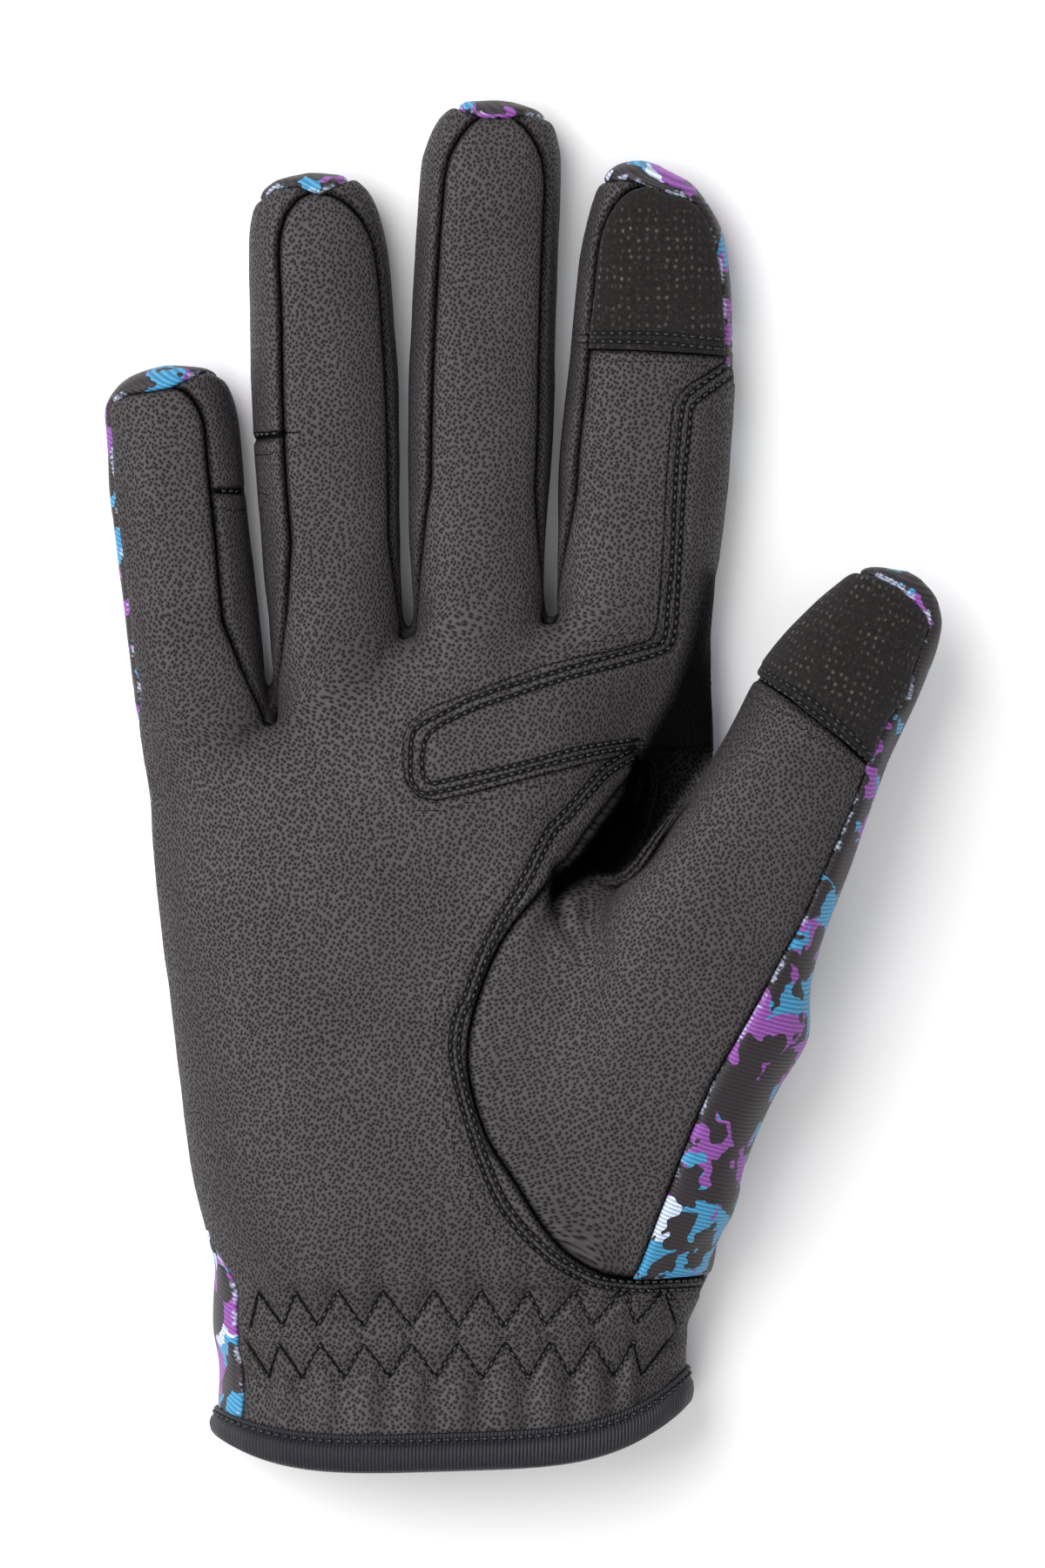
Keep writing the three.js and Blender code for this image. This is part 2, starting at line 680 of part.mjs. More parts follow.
// Halves the long edges of some triangles, so that a narrow shape finds corners to lie on.
function refine(skin, applies, longest) {
  const { points } = skin;
  const middles = new Map();
  for (const [p, q] of skin.triangles.filter(applies).flatMap(edgesOf)) {
    const edge = minus(points[q], points[p]);
    if (Math.hypot(...edge) < longest || middles.has(keyOf(p, q))) continue;
    middles.set(keyOf(p, q), points.push(plus(points[p], edge, 0.5)) - 1);
  }
  return divide(skin, middles);
}

// Splits the skin along the zero line of a seam. Near corners move onto the seam unless they are held.
const nearCorner = 0.14;
function splitAlong(skin, held, applies, seam) {
  const { points } = skin;
  const values = new Map();
  const chosen = skin.triangles.filter(applies);
  for (const { corners, source } of chosen) {
    for (const p of corners) if (!values.has(p)) values.set(p, seam(...points[p], source));
  }
  const crossings = new Map();
  const pulled = new Map();
  for (const [p, q] of chosen.flatMap(edgesOf)) {
    const [a, b] = [values.get(p), values.get(q)];
    if (a * b >= 0) continue;
    const t = a / (a - b);
    const near = t < nearCorner ? p : t > 1 - nearCorner ? q : null;
    if (near === null || held.has(near)) continue;
    const reach = Math.min(t, 1 - t);
    if (!pulled.has(near) || pulled.get(near).reach > reach) {
      pulled.set(near, { reach, target: plus(points[p], minus(points[q], points[p]), t) });
    }
  }
  for (const [p, { target }] of pulled) {
    const flat = points[p][2] === 0;
    points[p] = flat ? [target[0], target[1], 0] : target;
    values.set(p, 0);
    held.add(p);
  }
  for (const [p, q] of chosen.flatMap(edgesOf)) {
    const [a, b] = [values.get(p), values.get(q)];
    const key = keyOf(p, q);
    if (a * b >= 0 || crossings.has(key)) continue;
    const t = clamp(a / (a - b), leastCut, 1 - leastCut);
    crossings.set(key, points.push(plus(points[p], minus(points[q], points[p]), t)) - 1);
    held.add(points.length - 1);
  }
  return divide(skin, crossings);
}

// Seam functions: each is zero on its seam
const outline = (shares) => shares.map(([x, y]) => [x * knuckleHalf, y * palmLength]);
const farRight = 3 * knuckleHalf;
const arcTop = thumbArc[0][1] * palmLength;
const arcBottom = thumbArc[thumbArc.length - 1][1] * palmLength;
const arcOutline = [
  ...new THREE.SplineCurve(outline(thumbArc).map(([x, y]) => new THREE.Vector2(x, y)))
    .getPoints(44).map(({ x, y }) => [x, y]),
  [farRight, arcBottom],
  [farRight, arcTop],
];
const overlayOutline = [
  ...outline(overlayEdge),
  [farRight, overlayEdge[overlayEdge.length - 1][1] * palmLength],
  [farRight, overlayEdge[0][1] * palmLength],
];

const arcSeam = (x, y) => signedDistance(arcOutline, x, y);

function thumbSideSeam(x, y) {
  const { along, across } = digits.thumb.locate(x, y);
  return across - lookup(thumbFabricSeam, along, 'side') * digits.thumb.half;
}

function palmBackSeam(x, y, z) {
  const { u, along } = palmPlace(x, y);
  const left = lookup(palmLeftSeam, along, 'height');
  const right = lookup(palmRightSeam, along, 'height');
  const share = mix(left, right, clamp(u * 2 + 0.5, 0, 1));
  return share * palmTop(along) - z;
}

function fingerSeamShare(name, along, side) {
  const towardTip = clamp((along - 0.5) / 0.12, 0, 1);
  const left = name === 'little' ? outerSeamHeight : innerSeamHeight;
  const right = name === 'index' ? mix(indexBaseSeamHeight, outerSeamHeight, towardTip) : innerSeamHeight;
  return mix(left, right, clamp(side * 2 + 0.5, 0, 1));
}

function fingerBackSeam(x, y, z, name) {
  const { along, side } = digits[name].locate(x, y);
  const top = lookup(fingerHeights, along, 'top') * fingerThickness;
  return fingerSeamShare(name, along, side) * top - z;
}

const fingerTipSeam = (x, y, z, name) => {
  const { along } = digits[name].locate(x, y);
  return (along - tipSeams[name]) * digits[name].length;
};

// Positive on the palm leather, negative on the side strips.
function archSeam(x, y, z, name) {
  const { along, side } = digits[name].locate(x, y);
  const share = side < 0 ? archLeft[name] : archRight[name];
  if (share === undefined) return digits[name].half;
  const widening = clamp((along - crotchPlace) / (stripPlace - crotchPlace), 0, 1);
  const opened = mix(crotchWidth, share, widening);
  const archEnd = tipSeams[name] + archOverrun;
  const narrowing = clamp((along - archStart) / (archEnd - archStart), 0, 1);
  const arch = opened * (1 - narrowing ** archPower) ** (1 / archPower);
  return (arch - Math.abs(side)) * digits[name].half;
}

const piecingSeam = (x, y, z, name) => (
  (digits[name].locate(x, y).along - piecingSeams[name]) * digits[name].length);

const indexPatchLine = (x, y) => (
  (digits.index.locate(x, y).along - indexPatchSeam) * digits.index.length);

function thumbPatchLine(x, y) {
  const { along, side } = digits.thumb.locate(x, y);
  return (along - thumbPatchSeam - thumbPatchSlant * side) * digits.thumb.length;
}

function thumbBackSeam(x, y, z) {
  const { along } = digits.thumb.locate(x, y);
  const low = lookup(thumbRows, along, 'low');
  const top = lookup(thumbRows, along, 'top');
  return mix(low, top, thumbInnerSeamHeight) * thumbTop - z;
}

const thumbTipLine = (x, y) => (digits.thumb.locate(x, y).along - thumbTipSeam) * digits.thumb.length;

// Positive where the overlay lies, which keeps clear of the seams at the back and round the thumb.
function overlaySeam(x, y, z, source) {
  const { along, side } = digits.index.locate(x, y);
  const onIndex = Math.min(
    (side - lookup(overlayOnIndex, along, 'side')) * digits.index.half,
    (along - overlayLow) * digits.index.length,
    -indexPatchLine(x, y));
  const clearOfFold = (overlayEdge[overlayEdge.length - 1][0] + foldReach) * knuckleHalf - x;
  const onPalm = Math.min(
    signedDistance(overlayOutline, x, y), Math.max(clearOfFold, y - foldTop * palmLength));
  const aboveBack = -(source === 'palm' ? palmBackSeam(x, y, z) : fingerBackSeam(x, y, z, source));
  return Math.min(Math.max(onIndex, onPalm), aboveBack - overlayMargin, -arcSeam(x, y) - overlayMargin);
}

const overlaySources = ['palm', 'middle', 'index'];
const overlaySeams = ({ label, source }) => label === 'palm_panel' && overlaySources.includes(source);

// Building and labelling the skin
const bodies = { palm: loft(palmSections.map(palmRing)) };
for (const name of fingerNames) {
  bodies[name] = loft(fingerRows[name].map((row) => fingerRing(name, row)));
}
bodies.thumb = loft(thumbRows.map(thumbRing));

const isFinger = (source) => fingerNames.includes(source);
const centroid = (points, { corners }) => [0, 1, 2].map(
  (axis) => (points[corners[0]][axis] + points[corners[1]][axis] + points[corners[2]][axis]) / 3);

// The disc that closes the loft at the wrist is dropped: it fans out from one hub.
function openWrist(skin) {
  const hub = bodies.palm.points.length - 2;
  const [x, y, z] = bodies.palm.points[hub];
  const isHub = (p) => Math.hypot(...minus(skin.points[p], [x, y, z])) < 0.01;
  return { points: skin.points, triangles: skin.triangles.filter(({ corners }) => !corners.some(isHub)) };
}

function labelOf(points, triangle) {
  const [x, y, z] = centroid(points, triangle);
  const { source } = triangle;
  if (source === 'palm') {
    if (palmBackSeam(x, y, z) > 0) return 'back_panel';
    if (arcSeam(x, y) > 0) return thumbSideSeam(x, y) > 0 ? 'back_panel' : 'thumb_panel';
    const { u, along } = palmPlace(x, y);
    if (along > stripStart) return stripAt(u * knuckleHalf);
    return 'palm_panel';
  }
  if (source === 'thumb') {
    const behind = thumbBackSeam(x, y, z) > 0 || thumbSideSeam(x, y) > 0;
    if (behind || thumbTipLine(x, y) > 0) return 'back_panel';
    if (thumbPatchLine(x, y) > 0) return 'thumb_tip_patch';
    return 'thumb_panel';
  }
  if (fingerBackSeam(x, y, z, source) > 0 || fingerTipSeam(x, y, z, source) > 0) return 'back_panel';
  if (archSeam(x, y, z, source) < 0) {
    const left = digits[source].locate(x, y).side < 0;
    const pieced = source in piecingSeams && piecingSeam(x, y, z, source) > 0;
    if (source === 'little') return pieced ? 'fourchette_little_tip' : 'fourchette_little_ring';
    if (source === 'ring' && left) return pieced ? 'fourchette_ring_tip' : 'fourchette_little_ring';
    if (source === 'ring' || (source === 'middle' && left)) return 'fourchette_ring_middle';
    return 'fourchette_middle_index';
  }
  if (source === 'index' && indexPatchLine(x, y) > 0) return 'index_tip_patch';
  return 'palm_panel';
}

function stripAt(x) {
  const strips = ['fourchette_little_ring', 'fourchette_ring_middle', 'fourchette_middle_index'];
  const distances = [1, 2, 3].map((i) => Math.abs(crotchXs[i] - x));
  return strips[distances.indexOf(Math.min(...distances))];
}

// Edge-joined groups among some triangles, the largest first.
function groupsOf(triangles) {
  const byEdge = new Map();
  const keys = triangles.map(({ corners }) => [0, 1, 2].map((k) => {
    const [p, q] = [corners[k], corners[(k + 1) % 3]];
    return p < q ? `${p},${q}` : `${q},${p}`;
  }));
  keys.forEach((list, t) => list.forEach((key) => byEdge.set(key, [...(byEdge.get(key) ?? []), t])));
  const seen = new Set();
  const groups = [];
  triangles.forEach((_, start) => {
    if (seen.has(start)) return;
    const group = [];
    const queue = [start];
    seen.add(start);
    while (queue.length > 0) {
      const t = queue.pop();
      group.push(triangles[t]);
      for (const next of keys[t].flatMap((key) => byEdge.get(key))) {
        if (!seen.has(next)) {
          seen.add(next);
          queue.push(next);
        }
      }
    }
    groups.push(group);
  });
  return groups.sort((a, b) => b.length - a.length);
}

// Slips of one piece cut off inside another go to the piece around them.
function settleSlips(skin) {
  const names = new Set(skin.triangles.map(({ label }) => label));
  for (const name of names) {
    const [, ...slips] = groupsOf(skin.triangles.filter(({ label }) => label === name));
    for (const slip of slips) {
      const corners = new Set(slip.flatMap((triangle) => triangle.corners));
      const votes = new Map();
      for (const { corners: own, label } of skin.triangles) {
        if (label === name || own.filter((p) => corners.has(p)).length < 2) continue;
        votes.set(label, (votes.get(label) ?? 0) + 1);
      }
      const [winner] = [...votes].sort((a, b) => b[1] - a[1])[0] ?? [name];
      for (const triangle of slip) triangle.label = winner;
    }
  }
}

function buildSkin() {
  let skin = closeShortEdges(joinBodies(bodies), shortestEdge);
  skin = openWrist(skin);
  const held = new Set();
  const middleOf = (triangle) => centroid(skin.points, triangle);
  const cut = (applies, seam) => {
    skin = splitAlong(skin, held, applies, seam);
  };
  const above = (triangle) => middleOf(triangle)[2] > 0.5;
  cut(({ source }) => source === 'palm', palmBackSeam);
  cut((triangle) => triangle.source === 'palm' && palmBackSeam(...middleOf(triangle)) < 0, arcSeam);
  cut((triangle) => {
    const [x, y, z] = middleOf(triangle);
    return triangle.source === 'palm' && palmBackSeam(x, y, z) < 0 && arcSeam(x, y) > 0;
  }, thumbSideSeam);
  cut(({ source }) => source === 'thumb', thumbBackSeam);
  cut((triangle) => triangle.source === 'thumb' && thumbBackSeam(...middleOf(triangle)) < 0, thumbSideSeam);
  cut((triangle) => triangle.source === 'thumb' && thumbSideSeam(...middleOf(triangle)) < 0, thumbTipLine);
  cut((triangle) => {
    const [x, y, z] = middleOf(triangle);
    return triangle.source === 'thumb' && thumbBackSeam(x, y, z) < 0 && thumbSideSeam(x, y) < 0;
  }, thumbPatchLine);
  for (const name of fingerNames) {
    const own = ({ source }) => source === name;
    const leather = (triangle) => own(triangle) && above(triangle)
      && fingerBackSeam(...middleOf(triangle), name) < 0 && fingerTipSeam(...middleOf(triangle), name) < 0;
    cut(own, fingerBackSeam);
    cut((triangle) => own(triangle) && fingerBackSeam(...middleOf(triangle), name) < 0, fingerTipSeam);
    cut(leather, archSeam);
    if (name in piecingSeams) {
      const sideSign = name === 'little' ? 1 : -1;
      cut((triangle) => {
        const [x, y, z] = middleOf(triangle);
        return leather(triangle) && archSeam(x, y, z, name) < 0
          && digits[name].locate(x, y).side * sideSign > 0;
      }, piecingSeam);
    }
    if (name === 'index') {
      cut((triangle) => leather(triangle) && archSeam(...middleOf(triangle), name) > 0, indexPatchLine);
    }
  }
  const labelled = () => {
    for (const triangle of skin.triangles) triangle.label = labelOf(skin.points, triangle);
    settleSlips(skin);
  };
  labelled();
  skin = refine(skin, (triangle) => {
    const [x, y] = middleOf(triangle);
    return overlaySeams(triangle) && Math.abs(signedDistance(overlayOutline, x, y)) < overlayReach
      && arcSeam(x, y) < 0;
  }, overlayEdgeLength);
  cut(overlaySeams, overlaySeam);
  labelled();
  return skin;
}

// Solid pieces from regions of the skin
function cornerNormals({ points, triangles }) {
  const normals = points.map(() => [0, 0, 0]);
  for (const { corners } of triangles) {
    const normal = unit(faceNormal(points, corners));
    for (let k = 0; k < 3; k += 1) {
      const [p, q, r] = [0, 1, 2].map((step) => corners[(k + step) % 3]);
      const toQ = unit(minus(points[q], points[p]));
      const toR = unit(minus(points[r], points[p]));
      normals[p] = plus(normals[p], normal, Math.acos(clamp(dot(toQ, toR), -1, 1)));
    }
  }
  return normals.map(unit);
}

// Gives each fan of triangles round a point a point of its own, so that no piece touches itself.
function separateFans(triangles) {
  const around = new Map();
  triangles.forEach((corners, t) => {
    for (const p of corners) {
      if (!around.has(p)) around.set(p, []);
      around.get(p).push(t);
    }
  });
  const original = [];
  const renamed = triangles.map(() => new Map());
  for (const [p, fans] of around) {
    const left = new Set(fans);
    while (left.size > 0) {
      const id = original.push(p) - 1;
      const queue = [left.values().next().value];
      left.delete(queue[0]);
      while (queue.length > 0) {
        const t = queue.pop();
        renamed[t].set(p, id);
        const others = triangles[t].filter((q) => q !== p);
        for (const next of [...left]) {
          if (triangles[next].some((q) => q !== p && others.includes(q))) {
            left.delete(next);
            queue.push(next);
          }
        }
      }
    }
  }
  return { original, triangles: triangles.map((corners, t) => corners.map((p) => renamed[t].get(p))) };
}

// A solid sheet over some triangles, between two heights over the skin, stepped back from its edges.
function thicken(skin, normals, region, high, low) {
  const { original, triangles } = separateFans(region.map(({ corners }) => corners));
  const edges = new Map();
  for (const [a, b, c] of triangles) {
    for (const [p, q, r] of [[a, b, c], [b, c, a], [c, a, b]]) edges.set(`${p},${q}`, [p, q, r]);
  }
  const rim = [...edges.values()].filter(([p, q]) => !edges.has(`${q},${p}`));
  const inward = original.map(() => []);
  for (const [p, q, r] of rim) {
    const [a, b, c] = [p, q, r].map((corner) => skin.points[original[corner]]);
    const along = unit(minus(b, a));
    const normal = unit(cross(minus(b, a), minus(c, a)));
    const side = cross(normal, along);
    inward[p].push(side);
    inward[q].push(side);
  }
  const base = original.map((p, i) => {
    if (inward[i].length === 0) return skin.points[p];
    const sum = unit(inward[i].reduce((total, side) => plus(total, side), [0, 0, 0]));
    const spread = clamp(dot(sum, inward[i][0]), 0.5, 1);
    const moved = plus(skin.points[p], sum, inset / spread);
    return skin.points[p][2] === 0 ? [moved[0], moved[1], 0] : moved;
  });
  const upper = base.map((point, i) => plus(point, normals[original[i]], high));
  const lower = base.map((point, i) => plus(point, normals[original[i]], low));
  const count = base.length;
  const faces = [];
  for (const [a, b, c] of triangles) {
    faces.push([a, b, c]);
    faces.push([c + count, b + count, a + count]);
  }
  for (const [p, q] of rim) {
    faces.push([q, p, p + count]);
    faces.push([q, p + count, q + count]);
  }
  return { points: [...upper, ...lower], triangles: faces };
}

// The binding: a channel section carried round the wrist edge, along the wall from edge to reach
function bindingBody(skin, normals) {
  const nearest = (target) => {
    let best = 0;
    let distance = Infinity;
    skin.points.forEach((point, i) => {
      const away = Math.hypot(...minus(point, target));
      if (away < distance) [best, distance] = [i, away];
    });
    return best;
  };
  const [edge, reach] = [0, 1].map(
    (index) => palmRing(palmSections[index], index).map(({ point }) => nearest(point)));
  const wall = Math.max(leatherThickness, fabricThickness);
  const [outer, inner] = [clearance, -wall - clearance];
  const stations = edge.map((p, i) => {
    const q = reach[i];
    const down = unit(minus(skin.points[p], skin.points[q]));
    const low = (out, over) => plus(plus(skin.points[p], normals[p], out), down, over);
    const high = (out) => plus(skin.points[q], normals[q], out);
    return [
      high(outer), low(outer, clearance), low(inner, clearance), high(inner),
      high(inner - bindingThickness), low(inner - bindingThickness, clearance + bindingThickness),
      low(outer + bindingThickness, clearance + bindingThickness), high(outer + bindingThickness),
    ];
  });
  const size = stations[0].length;
  const faces = [];
  for (let i = 0; i < edge.length; i += 1) {
    const following = (i + 1) % edge.length;
    for (let k = 0; k < size; k += 1) {
      const [a, b] = [i * size + k, i * size + ((k + 1) % size)];
      const [c, d] = [following * size + k, following * size + ((k + 1) % size)];
      faces.push([a, c, b], [b, c, d]);
    }
  }
  const points = stations.flat().map(([x, y, z]) => [x, y, Math.max(z, 0)]);
  return { points, triangles: faces };
}

// Materials
const surface = (color, roughness) => new THREE.MeshStandardMaterial({ color, roughness, metalness: 0 });
const leather = surface('#3c3a39', 0.6);
const grip = surface('#1d1c1d', 0.95);
const twill = surface('#4a6f9c', 0.75);
const binding = surface('#16171d', 0.8);

function meshFrom(name, body, material) {
  const turned = signedVolume(body) < 0;
  const geometry = new THREE.BufferGeometry();
  geometry.setAttribute('position', new THREE.Float32BufferAttribute(body.points.flat(), 3));
  geometry.setIndex(body.triangles.map(([a, b, c]) => (turned ? [a, c, b] : [a, b, c])).flat());
  geometry.computeVertexNormals();
  const mesh = new THREE.Mesh(geometry, material);
  mesh.name = name;
  return mesh;
}

const panels = [
  { name: 'palm_panel', material: leather, thickness: leatherThickness },
  { name: 'thumb_panel', material: leather, thickness: leatherThickness },
  { name: 'back_panel', material: twill, thickness: fabricThickness },
  { name: 'index_tip_patch', material: grip, thickness: leatherThickness },
  { name: 'thumb_tip_patch', material: grip, thickness: leatherThickness },
  { name: 'fourchette_little_ring', material: leather, thickness: leatherThickness },
  { name: 'fourchette_little_tip', material: leather, thickness: leatherThickness },
  { name: 'fourchette_ring_tip', material: leather, thickness: leatherThickness },
  { name: 'fourchette_ring_middle', material: leather, thickness: leatherThickness },
  { name: 'fourchette_middle_index', material: leather, thickness: leatherThickness },
];

const skin = buildSkin();
const normals = cornerNormals(skin);
const glove = new THREE.Group();
for (const { name, material, thickness } of panels) {
  const region = skin.triangles.filter(({ label }) => label === name);
  glove.add(meshFrom(name, thicken(skin, normals, region, 0, -thickness), material));
}
const covered = skin.triangles.filter((triangle) => {
  const middle = centroid(skin.points, triangle);
  return overlaySeams(triangle) && overlaySeam(...middle, triangle.source) > 0;
});
const overlay = thicken(skin, normals, groupsOf(covered)[0], clearance + overlayThickness, clearance);
glove.add(meshFrom('index_reinforcement', overlay, leather));
glove.add(meshFrom('wrist_binding', bindingBody(skin, normals), binding));

// The origin is under the middle of the glove's box, on the table.
const box = new THREE.Box3().setFromObject(glove);
glove.position.set(-(box.min.x + box.max.x) / 2, -(box.min.y + box.max.y) / 2, 0);

export default glove;
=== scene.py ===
"""Horse riding glove for the right hand, lying on its back with the palm up.

The skin of the glove is lofted, joined and cut along its seams into the pieces that it is sewn from.
Shapes are worked out in millimetres, with x = 0 at the middle of the knuckles and y = 0 at the wrist
edge, and leave for Blender in metres in the row frame.
"""
import math

import bpy
import numpy as np
from bpy.props import FloatProperty, FloatVectorProperty, PointerProperty
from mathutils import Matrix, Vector, noise
from mathutils.bvhtree import BVHTree
from mathutils.kdtree import KDTree


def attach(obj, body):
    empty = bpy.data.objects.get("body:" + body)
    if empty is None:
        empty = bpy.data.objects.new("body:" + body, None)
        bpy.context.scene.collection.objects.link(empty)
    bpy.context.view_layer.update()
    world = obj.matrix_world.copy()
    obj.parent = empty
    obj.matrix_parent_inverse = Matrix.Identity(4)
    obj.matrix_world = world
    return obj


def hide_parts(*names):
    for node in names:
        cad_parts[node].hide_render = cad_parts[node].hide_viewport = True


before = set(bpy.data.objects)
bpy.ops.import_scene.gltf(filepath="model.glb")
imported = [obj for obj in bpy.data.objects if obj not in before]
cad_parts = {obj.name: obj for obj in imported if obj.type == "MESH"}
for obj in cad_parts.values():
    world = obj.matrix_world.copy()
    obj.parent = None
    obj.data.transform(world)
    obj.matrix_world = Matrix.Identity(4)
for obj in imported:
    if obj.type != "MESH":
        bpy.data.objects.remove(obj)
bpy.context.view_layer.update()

bl_info = {
    "name": "Horse riding glove",
    "version": (1, 0, 0),
    "blender": (4, 5, 0),
    "location": "3D View > Sidebar > Glove",
    "description": "Builds a sewn leather and twill riding glove around its packed solids",
    "category": "Add Mesh",
}

MM = 0.001
FRAME_MIDDLE = (16.17, 111.69)  # where the row frame's origin lies in the shape's own millimetres
BODY = "root"
SEEN_FROM = (16.35, 112.0, 1452.0)  # the photograph's camera
SEEN_HEIGHT = 12.0  # height above the table at which its pixels were turned to millimetres

# Sizes shared with the solids
PALM_LENGTH = 140.0
PALM_THICKNESS = 27.0
FINGER_NAMES = ("little", "ring", "middle", "index")
FINGER_WIDTHS = np.array((22.6, 22.9, 23.2, 26.8))
FINGER_LENGTHS = np.array((58.5, 83.0, 86.5, 75.1))
FINGER_LEANS = np.radians((-6.3, -3.5, 2.0, 2.8))
FINGER_THICKNESS = 16.0
THUMB_LENGTH = 108.6
THUMB_WIDTH = 26.0
THUMB_LEAN = math.radians(26.0)
THUMB_TOP = 31.0
KNUCKLE_HALF = FINGER_WIDTHS.sum() / 2
CROTCH_XS = np.concatenate(([0.0], np.cumsum(FINGER_WIDTHS))) - KNUCKLE_HALF
CROTCH_YS = np.array((0.88, 0.88, 0.985, 1.0, 1.006)) * PALM_LENGTH
THUMB_BASE = (0.644 * KNUCKLE_HALF, 0.358 * PALM_LENGTH)
SECTION_POWER = 0.77  # under 1, so that sections are fuller than ellipses
PALM_BELLY = 0.42  # share of the height at which a section is widest
FINGER_BELLY = 0.45
THUMB_BELLY = 0.5
PALM_PRESS = 0.22  # share of the height that the table presses flat
FINGER_PRESS = 0.15
WRIST_RISE = 0.063  # of the wrist edge at its right end, as a share of the palm's length
WRIST_RISE_LEFT = 0.044
WRIST_TILT = 0.0086
EDGE_LIFT = 1.3  # the wrist edge stands this far off the table, for the binding
EDGE_LIFT_END = 0.08  # share of the palm's length where that lift has ended

# Palm sections, as shares of the palm's length, the knuckles' half width and the palm's thickness:
# along, left, right, top
PALM_ROWS = np.array([
    (0, 0.711, 0.902, 0.889), (0.09, 0.715, 0.922, 0.857), (0.12, 0.731, 0.947, 0.835),
    (0.15, 0.738, 0.982, 0.865), (0.183, 0.739, 1.01, 0.853), (0.225, 0.736, 1.037, 0.903),
    (0.28, 0.759, 1.057, 0.962), (0.37, 0.807, 1.065, 1), (0.48, 0.839, 1.059, 1),
    (0.59, 0.872, 1.045, 0.97), (0.7, 0.906, 1.022, 0.92), (0.8, 0.932, 1.007, 0.86),
    (0.88, 0.948, 1.001, 0.79), (0.94, 0.962, 0.998, 0.7), (0.975, 0.972, 0.997, 0.6),
    (1, 0.98, 0.996, 0.42),
])
# Digit sections, as shares of the digit's length and half width: along, left, right
DIGIT_ROWS = {
    "little": np.array([
        (-0.26, 0.9, 0.9), (0, 0.97, 0.95), (0.12, 1, 0.93), (0.3, 1, 0.93), (0.5, 1.01, 0.97),
        (0.65, 1.03, 0.98), (0.8, 0.99, 0.98), (0.88, 0.98, 0.94), (0.93, 0.85, 0.85),
        (0.965, 0.68, 0.7), (0.99, 0.38, 0.36), (1, 0.02, 0.02)]),
    "ring": np.array([
        (-0.22, 0.95, 0.9), (0, 0.97, 0.94), (0.1, 0.97, 0.95), (0.24, 1.04, 0.97),
        (0.4, 1.08, 1.03), (0.6, 1.05, 1.07), (0.75, 0.99, 1.07), (0.85, 0.97, 1.03),
        (0.905, 0.92, 0.96), (0.945, 0.81, 0.86), (0.975, 0.66, 0.68), (0.993, 0.4, 0.36),
        (1, 0.02, 0.02)]),
    "middle": np.array([
        (-0.22, 0.9, 0.9), (0, 0.96, 0.94), (0.1, 1.04, 0.94), (0.25, 1.11, 0.93),
        (0.45, 1.14, 0.93), (0.65, 1.13, 0.93), (0.8, 1.09, 0.93), (0.88, 1.05, 0.92),
        (0.93, 0.94, 0.85), (0.96, 0.82, 0.75), (0.983, 0.62, 0.52), (0.995, 0.38, 0.26),
        (1, 0.02, 0.02)]),
    "index": np.array([
        (-0.24, 0.88, 0.96), (0, 0.95, 1), (0.12, 0.99, 1.02), (0.3, 0.98, 1.08),
        (0.48, 0.92, 1.09), (0.65, 0.89, 1.06), (0.78, 0.84, 0.99), (0.86, 0.77, 0.87),
        (0.915, 0.7, 0.68), (0.955, 0.6, 0.48), (0.98, 0.5, 0.2), (0.995, 0.34, 0.02),
        (1, 0.2, -0.1)]),
    "thumb": np.array([
        (-0.15, 0.8, 1.25), (-0.09, 1.2, 1.68), (0, 1.4, 1.74), (0.1, 1.5, 1.57),
        (0.2, 1.52, 1.52), (0.29, 1.5, 1.58), (0.37, 1.42, 1.32), (0.45, 1.24, 1.18),
        (0.55, 1.11, 1.09), (0.65, 1.04, 1.02), (0.75, 1.01, 0.97), (0.82, 0.94, 0.97),
        (0.88, 0.79, 0.94), (0.925, 0.64, 0.88), (0.96, 0.48, 0.77), (0.985, 0.24, 0.58),
        (1, -0.15, 0.25)]),
}
# Heights of fingers and thumb, as shares of their length and thickness: along, top, low
FINGER_HEIGHTS = np.array([
    (-0.26, 0.72, 0), (-0.15, 1, 0), (0, 1.09, 0), (0.2, 1, 0), (0.7, 0.95, 0), (0.88, 0.89, 0),
    (0.95, 0.8, 0.05), (0.98, 0.69, 0.13), (1, 0.5, 0.26)])
THUMB_HEIGHTS = np.array([
    (-0.15, 0.6, 0.14), (-0.09, 0.75, 0.08), (0, 0.86, 0.06), (0.1, 0.93, 0.07),
    (0.2, 0.98, 0.11), (0.29, 1, 0.18), (0.37, 1, 0.26), (0.45, 1, 0.33), (0.55, 0.98, 0.37),
    (0.65, 0.94, 0.35), (0.75, 0.88, 0.31), (0.82, 0.83, 0.28), (0.88, 0.79, 0.28),
    (0.925, 0.75, 0.29), (0.96, 0.71, 0.32), (0.985, 0.64, 0.36), (1, 0.55, 0.44)])
# Dents of the palm, as shares of its half width, length and thickness: x, y, reach across, reach up, depth
DENTS = ((0.86, 0.8, 0.2, 0.11, 0.66), (0.62, 0.7, 0.16, 0.05, 0.2), (-0.1, 0.62, 0.4, 0.3, 0.06))

